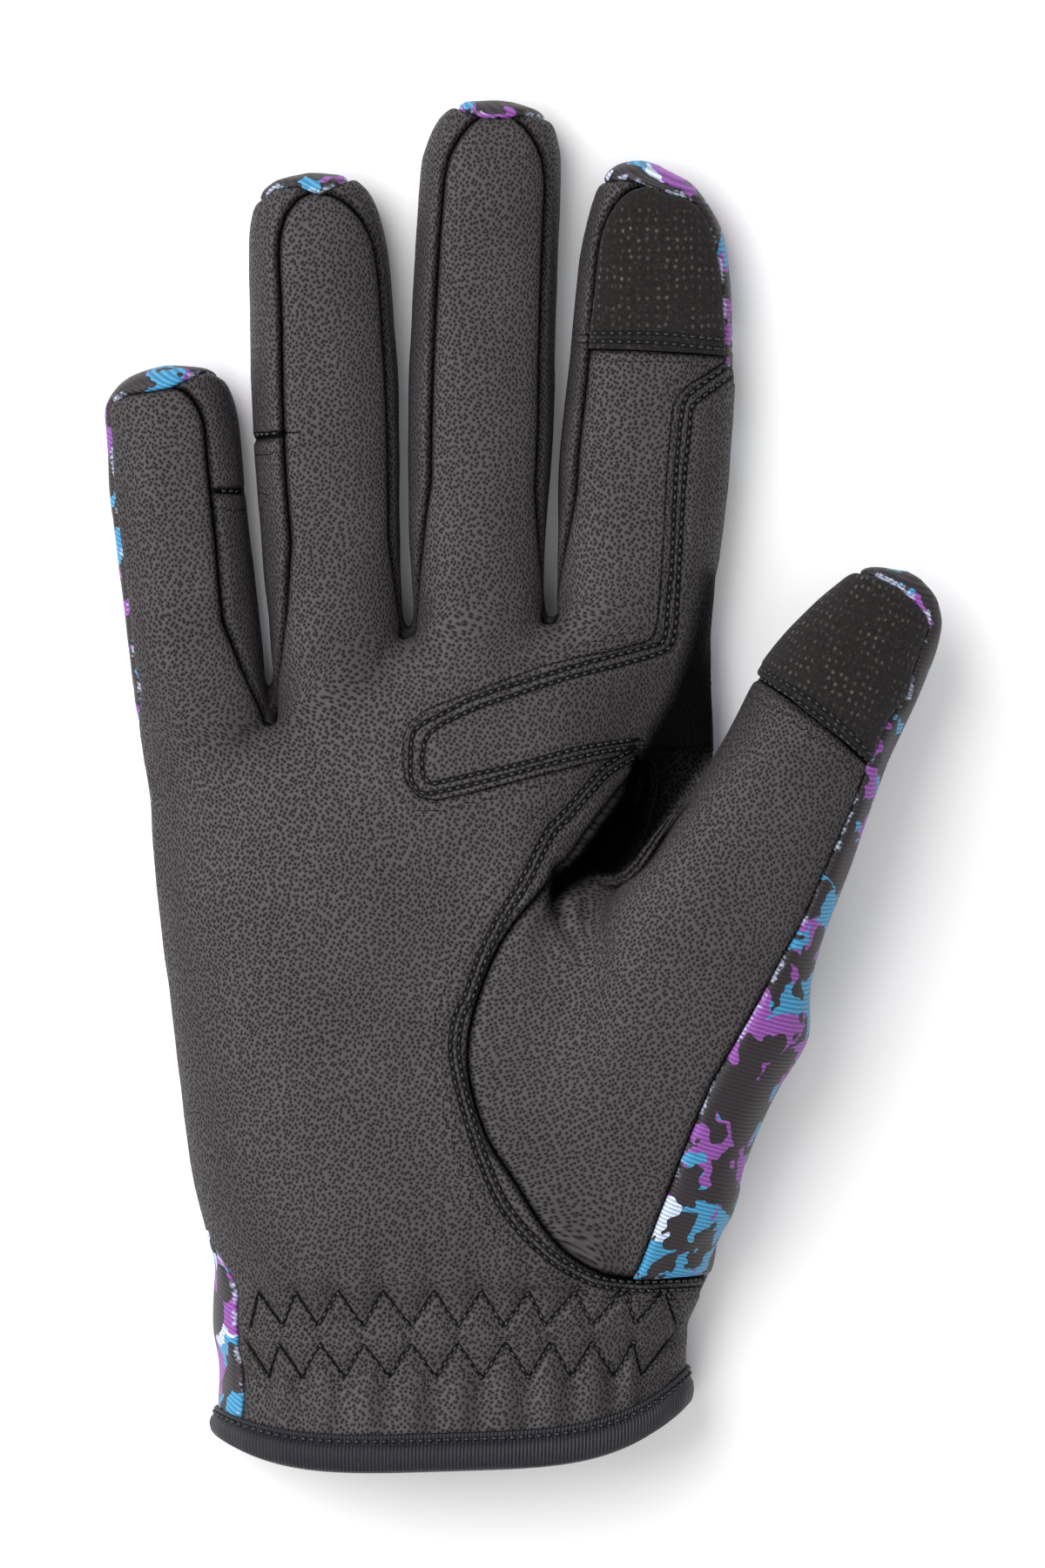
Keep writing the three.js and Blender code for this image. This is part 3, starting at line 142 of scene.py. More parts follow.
# Seams of the fingers from little to index, as shares of the local half width, length and height
ARCH_LEFT = np.array((np.nan, 0.58, 0.69, 0.8))
ARCH_RIGHT = np.array((0.52, 0.86, 0.82, np.nan))
ARCH_START = 0.8
ARCH_END = np.array((0.937, 0.957, 0.975, 0.94))
PIECING_SEAMS = np.array((0.625, 0.475, 9.0, 9.0))  # 9 lies beyond the finger: no seam
SEAM_LEFT = np.array((0.68, 0.24, 0.24, 0.24))
SEAM_RIGHT = np.array((0.24, 0.24, 0.24, 0.3))
INDEX_PATCH_SEAM = 0.575
THUMB_PATCH_SEAM = 0.735
THUMB_PATCH_SLANT = -0.025
# Where the back begins at the palm's sides: along, share of the height
PALM_LEFT_SEAM = np.array([(0, 0.69), (0.2, 0.69), (0.27, 0.44), (0.34, 0.33), (1, 0.33)])
PALM_RIGHT_SEAM = np.array([(0, 0.3), (0.22, 0.3), (0.32, 0.56), (0.55, 0.56), (0.64, 0.26), (1, 0.3)])
THUMB_INNER_SEAM = 0.25
# The set-in thumb's seam, as shares of the palm's half width and length
THUMB_ARC = ((0.779, 0.839), (0.578, 0.754), (0.463, 0.697), (0.276, 0.62), (0.174, 0.534),
             (0.155, 0.465), (0.216, 0.389), (0.312, 0.337), (0.434, 0.272), (0.565, 0.234),
             (0.737, 0.217), (1.04, 0.219))
# From here on, lines as they are seen in the photograph, in millimetres at SEEN_HEIGHT
OVERLAY_EDGE = (
    (52.4, 183.3), (49.2, 181.6), (46.6, 179.7), (43.7, 178.1), (42, 176.5), (41.1, 174.8),
    (40.8, 171.9), (40.1, 163.8), (39.7, 155.2), (39.1, 145.1), (38.7, 140.2), (38.1, 136.8),
    (36.9, 135.6), (30.8, 134), (24.7, 132.8), (19.2, 131.4), (13.2, 129.2), (7.6, 127.1),
    (2.1, 125.1), (-0.2, 124), (-2.4, 122.1), (-3.4, 119.9), (-3.6, 115.3), (-2.9, 112),
    (-0.9, 109.8), (2.1, 109.2), (7.4, 110.3), (13.2, 111.8), (19.2, 113.3), (26.4, 115.2),
    (31.3, 116.3), (35.8, 117.5), (60, 119), (60, 183.3))
# Where the printed back begins at each fingertip
TIP_EDGES = (
    ((-60, 168), (-55.6, 172.5), (-51.6, 175.4), (-49.2, 176.7), (-42.1, 177.7), (-38.1, 179.7),
     (-36.1, 180.4), (-33.8, 179.4), (-28, 176), (-28, 190), (-60, 190)),
    ((-32, 205), (-29, 207.3), (-27.3, 208.6), (-24.7, 210.8), (-20.7, 211.1), (-17.2, 209.8),
     (-13.9, 211.5), (-11.2, 212.7), (-8.8, 213.2), (-6, 213), (-6, 225), (-32, 225)),
    ((-2, 223), (2, 224.4), (5.1, 224.2), (8.4, 222.9), (10.6, 222.4), (13.5, 222.4),
     (17.1, 222.9), (20.4, 222), (25, 220.5), (25, 235), (-2, 235)),
    ((24, 208.5), (26.4, 210.5), (30.2, 212), (33.6, 212.4), (36.1, 211.6), (39.7, 210.2),
     (43.4, 209.2), (45.7, 207.9), (47.2, 205.6), (48.5, 201.9), (49.5, 196.2), (49.8, 191.2),
     (49.7, 187), (50, 181), (70, 181), (70, 225), (24, 225)),
)
THUMB_EDGE = ((66, 148.5), (71.3, 147.3), (74.9, 146.6), (78.7, 144.7), (81.6, 142.2), (83.6, 139.8),
              (84.1, 137.9), (83, 135), (81.6, 130.7), (80.7, 126.4), (77.3, 122.1), (74.4, 116.3),
              (71.2, 108.1), (66.6, 97.6), (62.6, 88.2), (55.9, 76.4), (48, 62.5), (42.8, 49.9),
              (35.2, 30.4), (32, 22), (90, 22), (110, 120), (90, 165), (66, 165))
# Slot of the fold beside the thumb
PIT_EDGE = ((34.8, 116), (33.9, 113), (33.1, 110.3), (31.5, 107.7), (29.6, 105.4), (27.7, 102.6),
            (26.1, 100.3), (24.3, 98.5), (22.7, 96.4), (21.8, 94.7), (23, 93.9), (24.1, 95.3),
            (25.3, 96.2), (27.3, 97), (29.3, 97), (31.3, 97.6), (33.1, 99.3), (34.8, 101.6),
            (36.2, 104.8), (37.2, 108.4), (38, 112), (37.7, 114.9), (36.5, 116.3))
PIT_DEPTH = 9.0
# The hollow between palm and thumb that no light reaches, where shade is painted into the skin
HOLLOW_EDGE = ((46.5, 147), (43.8, 135), (41, 127), (37.5, 121), (35.5, 116.5), (33.7, 112.5),
               (31, 107), (27, 101.5), (22.5, 95.5), (23.5, 93.5), (28.5, 96.5), (32, 96.2),
               (35.5, 99), (38.5, 103.5), (43, 110), (48, 117.5), (60, 135), (60, 147))

# Rows of stitches
OVERLAY_ROWS = (
    ((49.2, 180.5), (46.4, 178.4), (44.5, 176.9), (43.2, 175.5), (42.7, 173.5), (42.1, 167.9),
     (41.5, 159.2), (41.1, 149.4), (40.4, 141.4), (40.1, 137.6), (39.5, 135.6), (38, 134.9),
     (35.5, 134.3), (28.2, 132.3), (21.7, 130.4), (13.9, 128.1), (7.4, 125.8), (3, 123.5),
     (-0.6, 121.6), (-1.8, 119.8), (-2.1, 116.3), (-2, 112.9), (-0.9, 111), (0.9, 110.4),
     (6.3, 111.5), (13.9, 113.4), (22.4, 115.6), (28.6, 117.1), (34.4, 118.2)),
    ((50, 179.1), (47.5, 177.1), (45.7, 175.7), (44.3, 174.1), (43.9, 170.5), (43.1, 162.7),
     (42.6, 154.6), (42.1, 145.7), (41.8, 140.2), (41.5, 137.2), (40.8, 134.9), (38.8, 133.6),
     (33.5, 132), (24.7, 129.7), (18.5, 127.8), (10.2, 125.1), (5.6, 123.1), (2.4, 121.4),
     (0.6, 119.7), (-0.1, 117.2), (-0.2, 114.9), (0.2, 113), (1.4, 112.1), (3.5, 112.4),
     (10.9, 114.1), (16.6, 115.4), (22.4, 117), (27.4, 118.2), (34.9, 119.4)),
)
ARC_OUTER_ROW = ((34.2, 117.6), (30.3, 115.2), (28.4, 113.4), (23.4, 107.6), (20.2, 104), (16.4, 96.6),
                 (13.2, 91.6), (10.6, 86.8), (8.6, 82.2), (7, 77.4), (5.3, 74), (4.5, 69.5),
                 (4.8, 65.1), (6, 59.9), (7.7, 54.1), (9.6, 48.6), (12.2, 42.8), (15.2, 38.6),
                 (18.7, 35), (22.2, 32.3), (25.3, 30.5), (28.5, 29.2), (34.5, 28.3), (43.1, 28.5),
                 (50.5, 29.3))
ROW_GAP = 1.35  # between the two rows of a pair
INDEX_PATCH_ROWS = (((27.4, 186.5), (38.7, 186.4), (49.8, 185.4)),
                    ((27.4, 185.2), (38.7, 184.9), (49.8, 183.8)))
THUMB_PATCH_ROWS = (((54.6, 131.6), (61, 127.9), (66.8, 123.9), (71.8, 119.1), (74.6, 115.9)),
                    ((54, 130.5), (60.3, 126.7), (66, 122.7), (71.1, 118), (73.9, 115.1)))
PIECING_ROWS = (((-33.6, 160.5), (-28.7, 160.1)), ((-28.3, 169.7), (-23.1, 170.1)))
UPPER_ZIGZAG_YS = (22.3, 27.9)
LOWER_ZIGZAG_YS = (19.4, 13.8)
UPPER_ZIGZAG_XS = (-28.9, -27.6, -23.5, -21.4, -17.6, -14.2, -10.1, -6.7, -2.2, 1.8, 5.6, 9.6,
                   13.3, 17.4, 20.2, 25.1, 28, 33.1, 35.2, 40.1, 42)
LOWER_ZIGZAG_XS = (-29.4, -26, -24.1, -20.4, -17.3, -13.2, -10.1, -5.7, -2.2, 2.1, 5.6, 9.6,
                   13.6, 17.4, 21.1, 24.6, 28, 31.8, 34.9, 36.4, 41.1)
# Creases, each running out at its last point: points, half width, depth
CREASES = (
    (((22.9, 97.5), (22.5, 94.1), (22.6, 91.6), (23.1, 89.4), (24.2, 86.5), (25, 83)), 1.5, 2.1),
    (((21.2, 93), (20.3, 89), (20.4, 84.5), (21, 79)), 2.6, 0.9),
    (((-3.9, 109.5), (-4.9, 113), (-4.8, 117), (-4.2, 121), (-3.4, 122.6)), 0.4, 0.22),
    (((26.4, 92.5), (27.2, 88), (27.8, 83), (28.2, 77.4)), 0.9, 0.35),
    (((24.9, 88.5), (25.6, 84.5), (26.3, 79.5)), 0.8, 0.3),
    (((29, 90), (29.6, 85.5), (29.9, 81)), 0.8, 0.22),
)
# The turned-in edges that stand up in the fold
WELT = ((28.4, 96.9), (29.6, 96.1), (31.9, 96.1), (34.2, 97.5), (35.8, 99.4), (37.2, 101.4),
        (38.7, 103.6), (40.3, 105.9), (43, 109.6))
SLIT = 2.1  # between neighbouring fingers where they lie together

# Fineness of the meshes: rings along a shell with points round each, and sizes in millimetres
PALM_RINGS = (136, 140)
FINGER_RINGS = (90, 72)
THUMB_RINGS = (110, 84)
VOXEL = 1.3
VOXEL_ACROSS = 0.7  # finer from left to right at the fingers, so that the slits between them stay open
FINER_FROM, FINER_AT = 50, 105  # the part of the palm over which it gets finer
FINE_EDGE = 0.62
FEATURE_REACH = 1.5

SMOOTHING = 14  # passes over the joined shells
EVENING = 160  # passes over the steps where digits join the palm
OVER_TABLE = 0.02  # the lowest that a piece of the skin lies
UPPER_SKIN = 4.0  # rows of stitches lie on skin that is higher than this
SMALL_STRIP, SMALL_SLIP = 600, 2000  # triangles: what is smaller was cut off by accident

made = {}  # what one operator leaves for the next


def linear(code):
    """An sRGB hex colour as linear red, green and blue."""
    channels = [int(code[i:i + 2], 16) / 255 for i in (1, 3, 5)]
    return tuple(c / 12.92 if c <= 0.04045 else ((c + 0.055) / 1.055) ** 2.4 for c in channels)


def mix(a, b, t):
    return a + (b - a) * t


def ramp(value, start, end):
    """0 before start, 1 after end, with an easy passage between."""
    t = np.clip((value - start) / (end - start), 0, 1)
    return t * t * (3 - 2 * t)


def eased(table, column, at):
    """A column of a table as a smooth curve that never overshoots its rows."""
    xs, ys = table[:, 0], table[:, column]
    step = np.diff(xs)
    slope = np.diff(ys) / step
    tangent = np.zeros(len(xs))
    rising = slope[:-1] * slope[1:] > 0
    before, after = 2 * step[1:] + step[:-1], step[1:] + 2 * step[:-1]
    with np.errstate(divide="ignore", invalid="ignore"):
        inner = (before + after) / (before / slope[:-1] + after / slope[1:])
    tangent[1:-1] = np.where(rising, inner, 0)
    tangent[0], tangent[-1] = slope[0], slope[-1]
    at = np.clip(at, xs[0], xs[-1])
    i = np.clip(np.searchsorted(xs, at, side="right") - 1, 0, len(xs) - 2)
    t = (at - xs[i]) / step[i]
    return ((1 + 2 * t) * (1 - t) ** 2 * ys[i] + t * (1 - t) ** 2 * step[i] * tangent[i]
            + t * t * (3 - 2 * t) * ys[i + 1] + t * t * (t - 1) * step[i] * tangent[i + 1])


def curve_through(points, pitch=0.4):
    """A smooth line through a few points, at an even pitch."""
    points = np.array(points, float)
    ends = np.concatenate(([2 * points[0] - points[1]], points, [2 * points[-1] - points[-2]]))
    t = np.linspace(0, 1, 12, endpoint=False)[:, None]
    line = [0.5 * (2 * b + (c - a) * t + (2 * a - 5 * b + 4 * c - d) * t ** 2
                   + (3 * b - a - 3 * c + d) * t ** 3)
            for a, b, c, d in zip(ends, ends[1:], ends[2:], ends[3:])]
    return even_line(np.concatenate(line + [points[-1:]]), pitch)


def unit(vectors):
    return vectors / np.linalg.norm(vectors, axis=1)[:, None]


def lengths_along(points):
    """How far along the line each of its points lies."""
    return np.concatenate(([0], np.cumsum(np.linalg.norm(np.diff(points, axis=0), axis=1))))


def values_at(at, far, values):
    """Columns of values, known at places far along a line, at other places on it."""
    return np.stack([np.interp(at, far, column) for column in values.T], -1)


def even_line(points, pitch):
    """The same line with points at an even pitch."""
    points = np.array(points, float)
    far = lengths_along(points)
    return values_at(np.linspace(0, far[-1], max(2, int(round(far[-1] / pitch)) + 1)), far, points)


def beside(line, gap):
    """A line seen from above, moved to its left by a gap."""
    along = unit(np.gradient(line, axis=0))
    return line + gap * np.stack([-along[:, 1], along[:, 0]], 1)


def as_seen(p):
    """Where points stand in the photograph, in millimetres at SEEN_HEIGHT."""
    scale = (SEEN_FROM[2] - SEEN_HEIGHT) / (SEEN_FROM[2] - p[:, 2])
    return (SEEN_FROM[0] + (p[:, 0] - SEEN_FROM[0]) * scale,
            SEEN_FROM[1] + (p[:, 1] - SEEN_FROM[1]) * scale)


# Sections and bodies
def section(angle, middle, half, low, top, belly):
    """Across and up on a rounded section that is widest at a share, belly, of its height."""
    across, up = np.cos(angle), np.sin(angle)
    widest = mix(low, top, belly)
    reach = np.where(up > 0, top - widest, widest - low)
    return (middle + half * np.sign(across) * np.abs(across) ** SECTION_POWER,
            widest + reach * np.sign(up) * np.abs(up) ** SECTION_POWER)


def wrist_line(u):
    rise = np.where(u < 0, WRIST_RISE_LEFT, WRIST_RISE)
    return PALM_LENGTH * (rise * np.abs(u) ** 4 + WRIST_TILT * u)


def crotch_line(x):
    return np.interp(x, CROTCH_XS, CROTCH_YS)


def palm_top(along):
    return eased(PALM_ROWS, 3, along) * PALM_THICKNESS


def palm_middle_half(along):
    left, right = (eased(PALM_ROWS, k, along) * KNUCKLE_HALF for k in (1, 2))
    return (right - left) / 2, (right + left) / 2


def palm_place(x, y):
    """Where a point seen from above lies on the palm: u from -1 to 1 across, along from wrist to crotch."""
    along = np.clip(y / PALM_LENGTH, 0, 1)
    for _ in range(8):
        middle, half = palm_middle_half(along)
        u = np.clip((x - middle) / half, -1, 1)
        low = wrist_line(u)
        along = np.clip((y - low) / (crotch_line(u * KNUCKLE_HALF) - low), 0, 1)
    return u, along


def dent_depth(x, y):
    """How far the palm's own dents go down, in millimetres."""
    depth = 0
    for dent_x, dent_y, across, up, share in DENTS:
        away = ((x / KNUCKLE_HALF - dent_x) / across) ** 2 + ((y / PALM_LENGTH - dent_y) / up) ** 2
        depth = depth + share * PALM_THICKNESS * np.exp(-away)
    return depth


def palm_surface(along, angle):
    """Points of the palm's outside at places along it and angles round it."""
    top = palm_top(along)
    middle, half = palm_middle_half(along)
    x, z = section(angle, middle, half, -PALM_PRESS * top, top, PALM_BELLY)
    u = np.clip((x - middle) / half, -1, 1)
    y = mix(wrist_line(u), crotch_line(u * KNUCKLE_HALF), along)
    upper = np.clip((z - PALM_BELLY * top) / (top * (1 - PALM_BELLY)), 0, 1)
    floor = EDGE_LIFT * np.clip((EDGE_LIFT_END - along) * 2 / EDGE_LIFT_END, 0, 1)
    return np.stack([x, y, np.maximum(z - dent_depth(x, y) * upper, floor)], -1)


def digit_facts(name):
    """Base, direction, length, half width, rows and heights of a digit."""
    if name == "thumb":
        return THUMB_BASE, THUMB_LEAN, THUMB_LENGTH, THUMB_WIDTH / 2, DIGIT_ROWS[name], THUMB_HEIGHTS
    i = FINGER_NAMES.index(name)
    base = ((CROTCH_XS[i] + CROTCH_XS[i + 1]) / 2, (CROTCH_YS[i] + CROTCH_YS[i + 1]) / 2)
    return (base, FINGER_LEANS[i], FINGER_LENGTHS[i], FINGER_WIDTHS[i] / 2, DIGIT_ROWS[name],
            FINGER_HEIGHTS)


def digit_surface(name, along, angle):
    """Points of a finger's or the thumb's outside at places along it and angles round it."""
    base, lean, length, half, rows, heights = digit_facts(name)
    if name == "thumb":
        thick, press, belly = THUMB_TOP, 0, THUMB_BELLY
    else:
        thick, press, belly = FINGER_THICKNESS, FINGER_PRESS, FINGER_BELLY
    top, low = eased(heights, 1, along) * thick, eased(heights, 2, along) * thick
    left, right = eased(rows, 1, along) * half, eased(rows, 2, along) * half
    across, z = section(angle, (right - left) / 2, (right + left) / 2,
                        low - press * top * (low <= 0), top, belly)
    dx, dy = math.sin(lean), math.cos(lean)
    x = base[0] + dx * along * length + dy * across
    y = base[1] + dy * along * length - dx * across
    if name != "thumb":
        z = z - dent_depth(x, y) * np.clip((z / top - belly) / (1 - belly), 0, 1)
    return np.stack([apart(name, x, y), y, np.maximum(z, 0)], -1)


def apart(name, x, y):
    """Keeps a finger on its own side of the slits to its neighbours."""
    for left, ys, middles in made.get("slits", ()):
        right = FINGER_NAMES[FINGER_NAMES.index(left) + 1]
        # free again below the slit, where the fingers join, and beyond the shorter finger's tip
        free = 1.5 * np.maximum(ys[0] + 1 - y, 0) + 90 * (y > ys[-1]) - SLIT / 2
        if name == left:
            x = np.minimum(x, np.interp(y, ys, middles) + free)
        elif name == right:
            x = np.maximum(x, np.interp(y, ys, middles) - free)
    return x


def find_slits():
    """The middle line between each pair of neighbouring fingers."""
    slits = []
    along = np.linspace(0, 0.96, 60)
    for left, right in zip(FINGER_NAMES, FINGER_NAMES[1:]):
        edge = digit_surface(left, along, 0 * along)
        facing = digit_surface(right, along, 0 * along + np.pi)
        ys = np.linspace(max(edge[0, 1], facing[0, 1]), min(edge[-1, 1], facing[-1, 1]), 60)
        middles = (np.interp(ys, edge[:, 1], edge[:, 0]) + np.interp(ys, facing[:, 1], facing[:, 0])) / 2
        slits.append((left, ys, middles))
    return slits


def digit_place(name, x, y):
    """Place on a digit: along it, millimetres across it, and across as -1 to 1 of its local width."""
    base, lean, length, half, rows, _ = digit_facts(name)
    dx, dy = math.sin(lean), math.cos(lean)
    along = ((x - base[0]) * dx + (y - base[1]) * dy) / length
    across = (x - base[0]) * dy - (y - base[1]) * dx
    left, right = eased(rows, 1, along) * half, eased(rows, 2, along) * half
    middle, wide = (right - left) / 2, np.maximum((right + left) / 2, 0.5)
    return along, across, (across - middle) / wide


def nearest_finger(x, y):
    """Which finger a point belongs to, with its place along and across that finger."""
    places = [digit_place(name, x, y) for name in FINGER_NAMES]
    sides = np.stack([side for _, _, side in places])
    which = np.argmin(np.abs(sides), axis=0)
    alongs = np.stack([along for along, _, _ in places])
    pick = (which, np.arange(len(which)))
    return which, alongs[pick], sides[pick]


def lofted(grid):
    """Closed shell of triangles through rings of points."""
    rows, sides = grid.shape[:2]
    points = np.concatenate([grid.reshape(-1, 3), [grid[0].mean(0), grid[-1].mean(0)]])
    k, i = np.meshgrid(np.arange(rows - 1), np.arange(sides), indexing="ij")
    a, b = (k * sides + i).ravel(), (k * sides + (i + 1) % sides).ravel()
    ring = np.arange(sides)
    turned = np.roll(ring, -1)
    first, last = rows * sides, (rows - 1) * sides
    return points, np.concatenate([
        np.stack([a, b, b + sides], 1), np.stack([a, b + sides, a + sides], 1),
        np.stack([turned, ring, np.full(sides, first)], 1),
        np.stack([last + ring, last + turned, np.full(sides, first + 1)], 1)])


def shell_of(surface, start, end, rings):
    """A closed body with the given surface, a function of the place along it and the angle round it."""
    rows, sides = rings
    t = np.linspace(0, 1, rows)
    along = mix(start, end, 1 - (1 - t) ** 1.6)[:, None]  # rings closer together towards the tip
    angle = np.linspace(0, 2 * np.pi, sides, endpoint=False)[None, :]
    return lofted(surface(along + 0 * angle, angle + 0 * along))


def digit_shell(name, rings):
    return shell_of(lambda along, angle: digit_surface(name, along, angle), DIGIT_ROWS[name][0, 0], 1, rings)


def merged(bodies):
    """The points and triangles of several bodies as one."""
    points, triangles, count = [], [], 0
    for body_points, body_triangles in bodies:
        points.append(body_points)
        triangles.append(body_triangles + count)
        count += len(body_points)
    return np.concatenate(points), np.concatenate(triangles)


def tree_of(bodies):
    points, triangles = merged(bodies)
    return BVHTree.FromPolygons(points.tolist(), triangles.tolist())


def remeshed(points, triangles):
    """One even skin round overlapping shells."""
    def widened(p, power):
        """Stretches the points across before the remeshing (power 1), and back after it (power -1)."""
        across = VOXEL / mix(VOXEL, VOXEL_ACROSS, ramp(p[:, 1], FINER_FROM, FINER_AT))
        return np.column_stack([p[:, 0] * across ** power, p[:, 1:]])

    mesh = bpy.data.meshes.new("shells")
    mesh.from_pydata(widened(points, 1).tolist(), [], triangles.tolist())
    shells = bpy.data.objects.new("shells", mesh)
    bpy.context.scene.collection.objects.link(shells)
    modifier = shells.modifiers.new("Remesh", "REMESH")
    modifier.mode = "VOXEL"
    modifier.voxel_size = VOXEL
    skin = shells.evaluated_get(bpy.context.evaluated_depsgraph_get()).to_mesh()
    skin.calc_loop_triangles()
    out = np.empty(len(skin.vertices) * 3, np.float32)
    skin.vertices.foreach_get("co", out)
    corners = np.empty(len(skin.loop_triangles) * 3, np.int32)
    skin.loop_triangles.foreach_get("vertices", corners)
    bpy.data.objects.remove(shells)
    bpy.data.meshes.remove(mesh)
    return widened(out.reshape(-1, 3).astype(float), -1), corners.reshape(-1, 3).astype(np.int64)


# Mesh work on arrays
WIDE = 1 << 31


def edge_keys(triangles):
    """A number for each of a triangle's three edges, the same from both sides."""
    following = np.roll(triangles, -1, axis=1)
    return np.minimum(triangles, following) * WIDE + np.maximum(triangles, following)


def ends_of_edges(triangles):
    keys = np.unique(edge_keys(triangles))
    return keys // WIDE, keys % WIDE


def averager(triangles, size):
    """A function that gives each point's mean value over its neighbours."""
    a, b = ends_of_edges(triangles)
    count = np.maximum(np.bincount(np.concatenate([a, b]), minlength=size), 1)
    return lambda values: (np.bincount(a, values[b], size) + np.bincount(b, values[a], size)) / count


def smoothed(points, triangles, passes):
    """Smooths in pairs of passes, inwards and out again, which keep the size."""
    mean = averager(triangles, len(points))
    for _ in range(passes):
        for factor in (0.5, -0.52):
            means = np.stack([mean(points[:, k]) for k in range(3)], 1)
            points = points + factor * (means - points)
    return points


def evened(points, triangles, weight, passes):
    """Evens out the heights of points, each by its weight from 0 to 1."""
    mean = averager(triangles, len(points))
    z = points[:, 2].copy()
    for _ in range(passes):
        z += 0.6 * weight * (mean(z) - z)
    return np.column_stack([points[:, :2], z])


def corner_normals(points, triangles):
    """Unit normals at the points, weighted by the triangles' areas."""
    p, q, r = (points[triangles[:, k]] for k in range(3))
    flat = np.cross(q - p, r - p)
    total = np.stack([sum(np.bincount(triangles[:, j], flat[:, k], len(points)) for j in range(3))
                      for k in range(3)], 1)
    return total / np.maximum(np.linalg.norm(total, axis=1), 1e-9)[:, None]


def divided(points, triangles, tags, cut_keys, cut_points):
    """Cuts each triangle at the new points on its edges. cut_keys is sorted."""
    keys = edge_keys(triangles)
    at = np.minimum(np.searchsorted(cut_keys, keys), len(cut_keys) - 1)
    cuts = np.where(cut_keys[at] == keys, cut_points[at], -1)
    count = (cuts >= 0).sum(1)
    whole = np.arange(len(triangles))
    parts, parents = [triangles[count == 0]], [whole[count == 0]]

    def turned(chosen, first):
        order = (first[:, None] + np.arange(3)) % 3
        return (np.take_along_axis(triangles[chosen], order, 1).T,
                np.take_along_axis(cuts[chosen], order, 1).T)

    def add(chosen, *corners):
        parts.append(np.stack(corners, 1))
        parents.append(chosen)

    one = whole[count == 1]
    (a, b, c), (ab, _, _) = turned(one, np.argmax(cuts[one] >= 0, axis=1))
    add(one, a, ab, c)
    add(one, ab, b, c)
    two = whole[count == 2]
    (a, b, c), (ab, bc, _) = turned(two, (np.argmax(cuts[two] < 0, axis=1) + 1) % 3)
    add(two, ab, b, bc)
    short = (np.linalg.norm(points[a] - points[bc], axis=1)
             < np.linalg.norm(points[ab] - points[c], axis=1))
    add(two, a, ab, np.where(short, bc, c))
    add(two, np.where(short, a, ab), bc, c)
    three = whole[count == 3]
    (a, b, c), (ab, bc, ca) = turned(three, np.zeros(len(three), int))
    add(three, a, ab, ca)
    add(three, ab, b, bc)
    add(three, bc, c, ca)
    add(three, ab, bc, ca)
    return np.concatenate(parts), tags[np.concatenate(parents)]


def refined(points, triangles, chosen, longest):
    """Halves the long edges of the chosen triangles."""
    a, b = ends_of_edges(triangles[chosen])
    long = np.linalg.norm(points[a] - points[b], axis=1) > longest
    a, b = a[long], b[long]
    new = len(points) + np.arange(len(a))
    points = np.concatenate([points, (points[a] + points[b]) / 2])
    triangles, _ = divided(points, triangles, np.zeros(len(triangles), int), a * WIDE + b, new)
    return points, triangles


class Skin:
    """The outer skin: points, triangles, and the piece that each triangle belongs to."""

    def __init__(self, points, triangles):
        self.points = points
        self.triangles = triangles
        self.tags = np.zeros(len(triangles), int)
        self.held = np.zeros(len(points), bool)

    def cut(self, tag, height, positive, negative=None):
        """Cuts the triangles of one tag along the zero line of height, and tags both sides."""
        chosen = self.tags == tag
        used = np.unique(self.triangles[chosen])
        values = np.zeros(len(self.points))
        values[used] = height(self.points[used])
        a, b = ends_of_edges(self.triangles[chosen])
        crossed = values[a] * values[b] < 0
        share = np.where(crossed, values[a] / np.where(crossed, values[a] - values[b], 1), 0.5)
        reach = np.minimum(share, 1 - share)
        near = np.where(share < 0.5, a, b)
        # a point that lies close to the cut is pulled onto it, which saves slivers
        pull = crossed & (reach < 0.16) & ~self.held[near]
        order = np.argsort(reach[pull])
        pulled, first = np.unique(near[pull][order], return_index=True)
        edges = np.nonzero(pull)[0][order][first]
        self.points[pulled] = mix(self.points[a[edges]], self.points[b[edges]], share[edges][:, None])
        values[pulled] = 0
        self.held[pulled] = True
        crossed = values[a] * values[b] < 0
        a, b = a[crossed], b[crossed]
        share = np.clip(values[a] / (values[a] - values[b]), 0.05, 0.95)[:, None]
        new = len(self.points) + np.arange(len(a))
        self.points = np.concatenate([self.points, mix(self.points[a], self.points[b], share)])
        self.held = np.concatenate([self.held, np.ones(len(new), bool)])
        values = np.concatenate([values, np.zeros(len(new))])
        if len(a):
            self.triangles, self.tags = divided(
                self.points, self.triangles, self.tags, a * WIDE + b, new)
        chosen = np.nonzero(self.tags == tag)[0]
        above = values[self.triangles[chosen]].sum(1) > 0
        self.tags[chosen[above]] = positive
        self.tags[chosen[~above]] = tag if negative is None else negative


def signed_distance(outline, x, y):
    """Distance to a closed outline seen from above, positive inside it."""
    nearest = np.full(len(x), np.inf)
    inside = np.zeros(len(x), bool)
    for (ax, ay), (bx, by) in zip(outline, np.roll(outline, -1, axis=0)):
        dx, dy = bx - ax, by - ay
        t = np.clip(((x - ax) * dx + (y - ay) * dy) / (dx * dx + dy * dy), 0, 1)
        nearest = np.minimum(nearest, np.hypot(x - ax - t * dx, y - ay - t * dy))
        if ay != by:
            inside ^= ((ay > y) != (by > y)) & (x < ax + dx * (y - ay) / dy)
    return np.where(inside, nearest, -nearest)


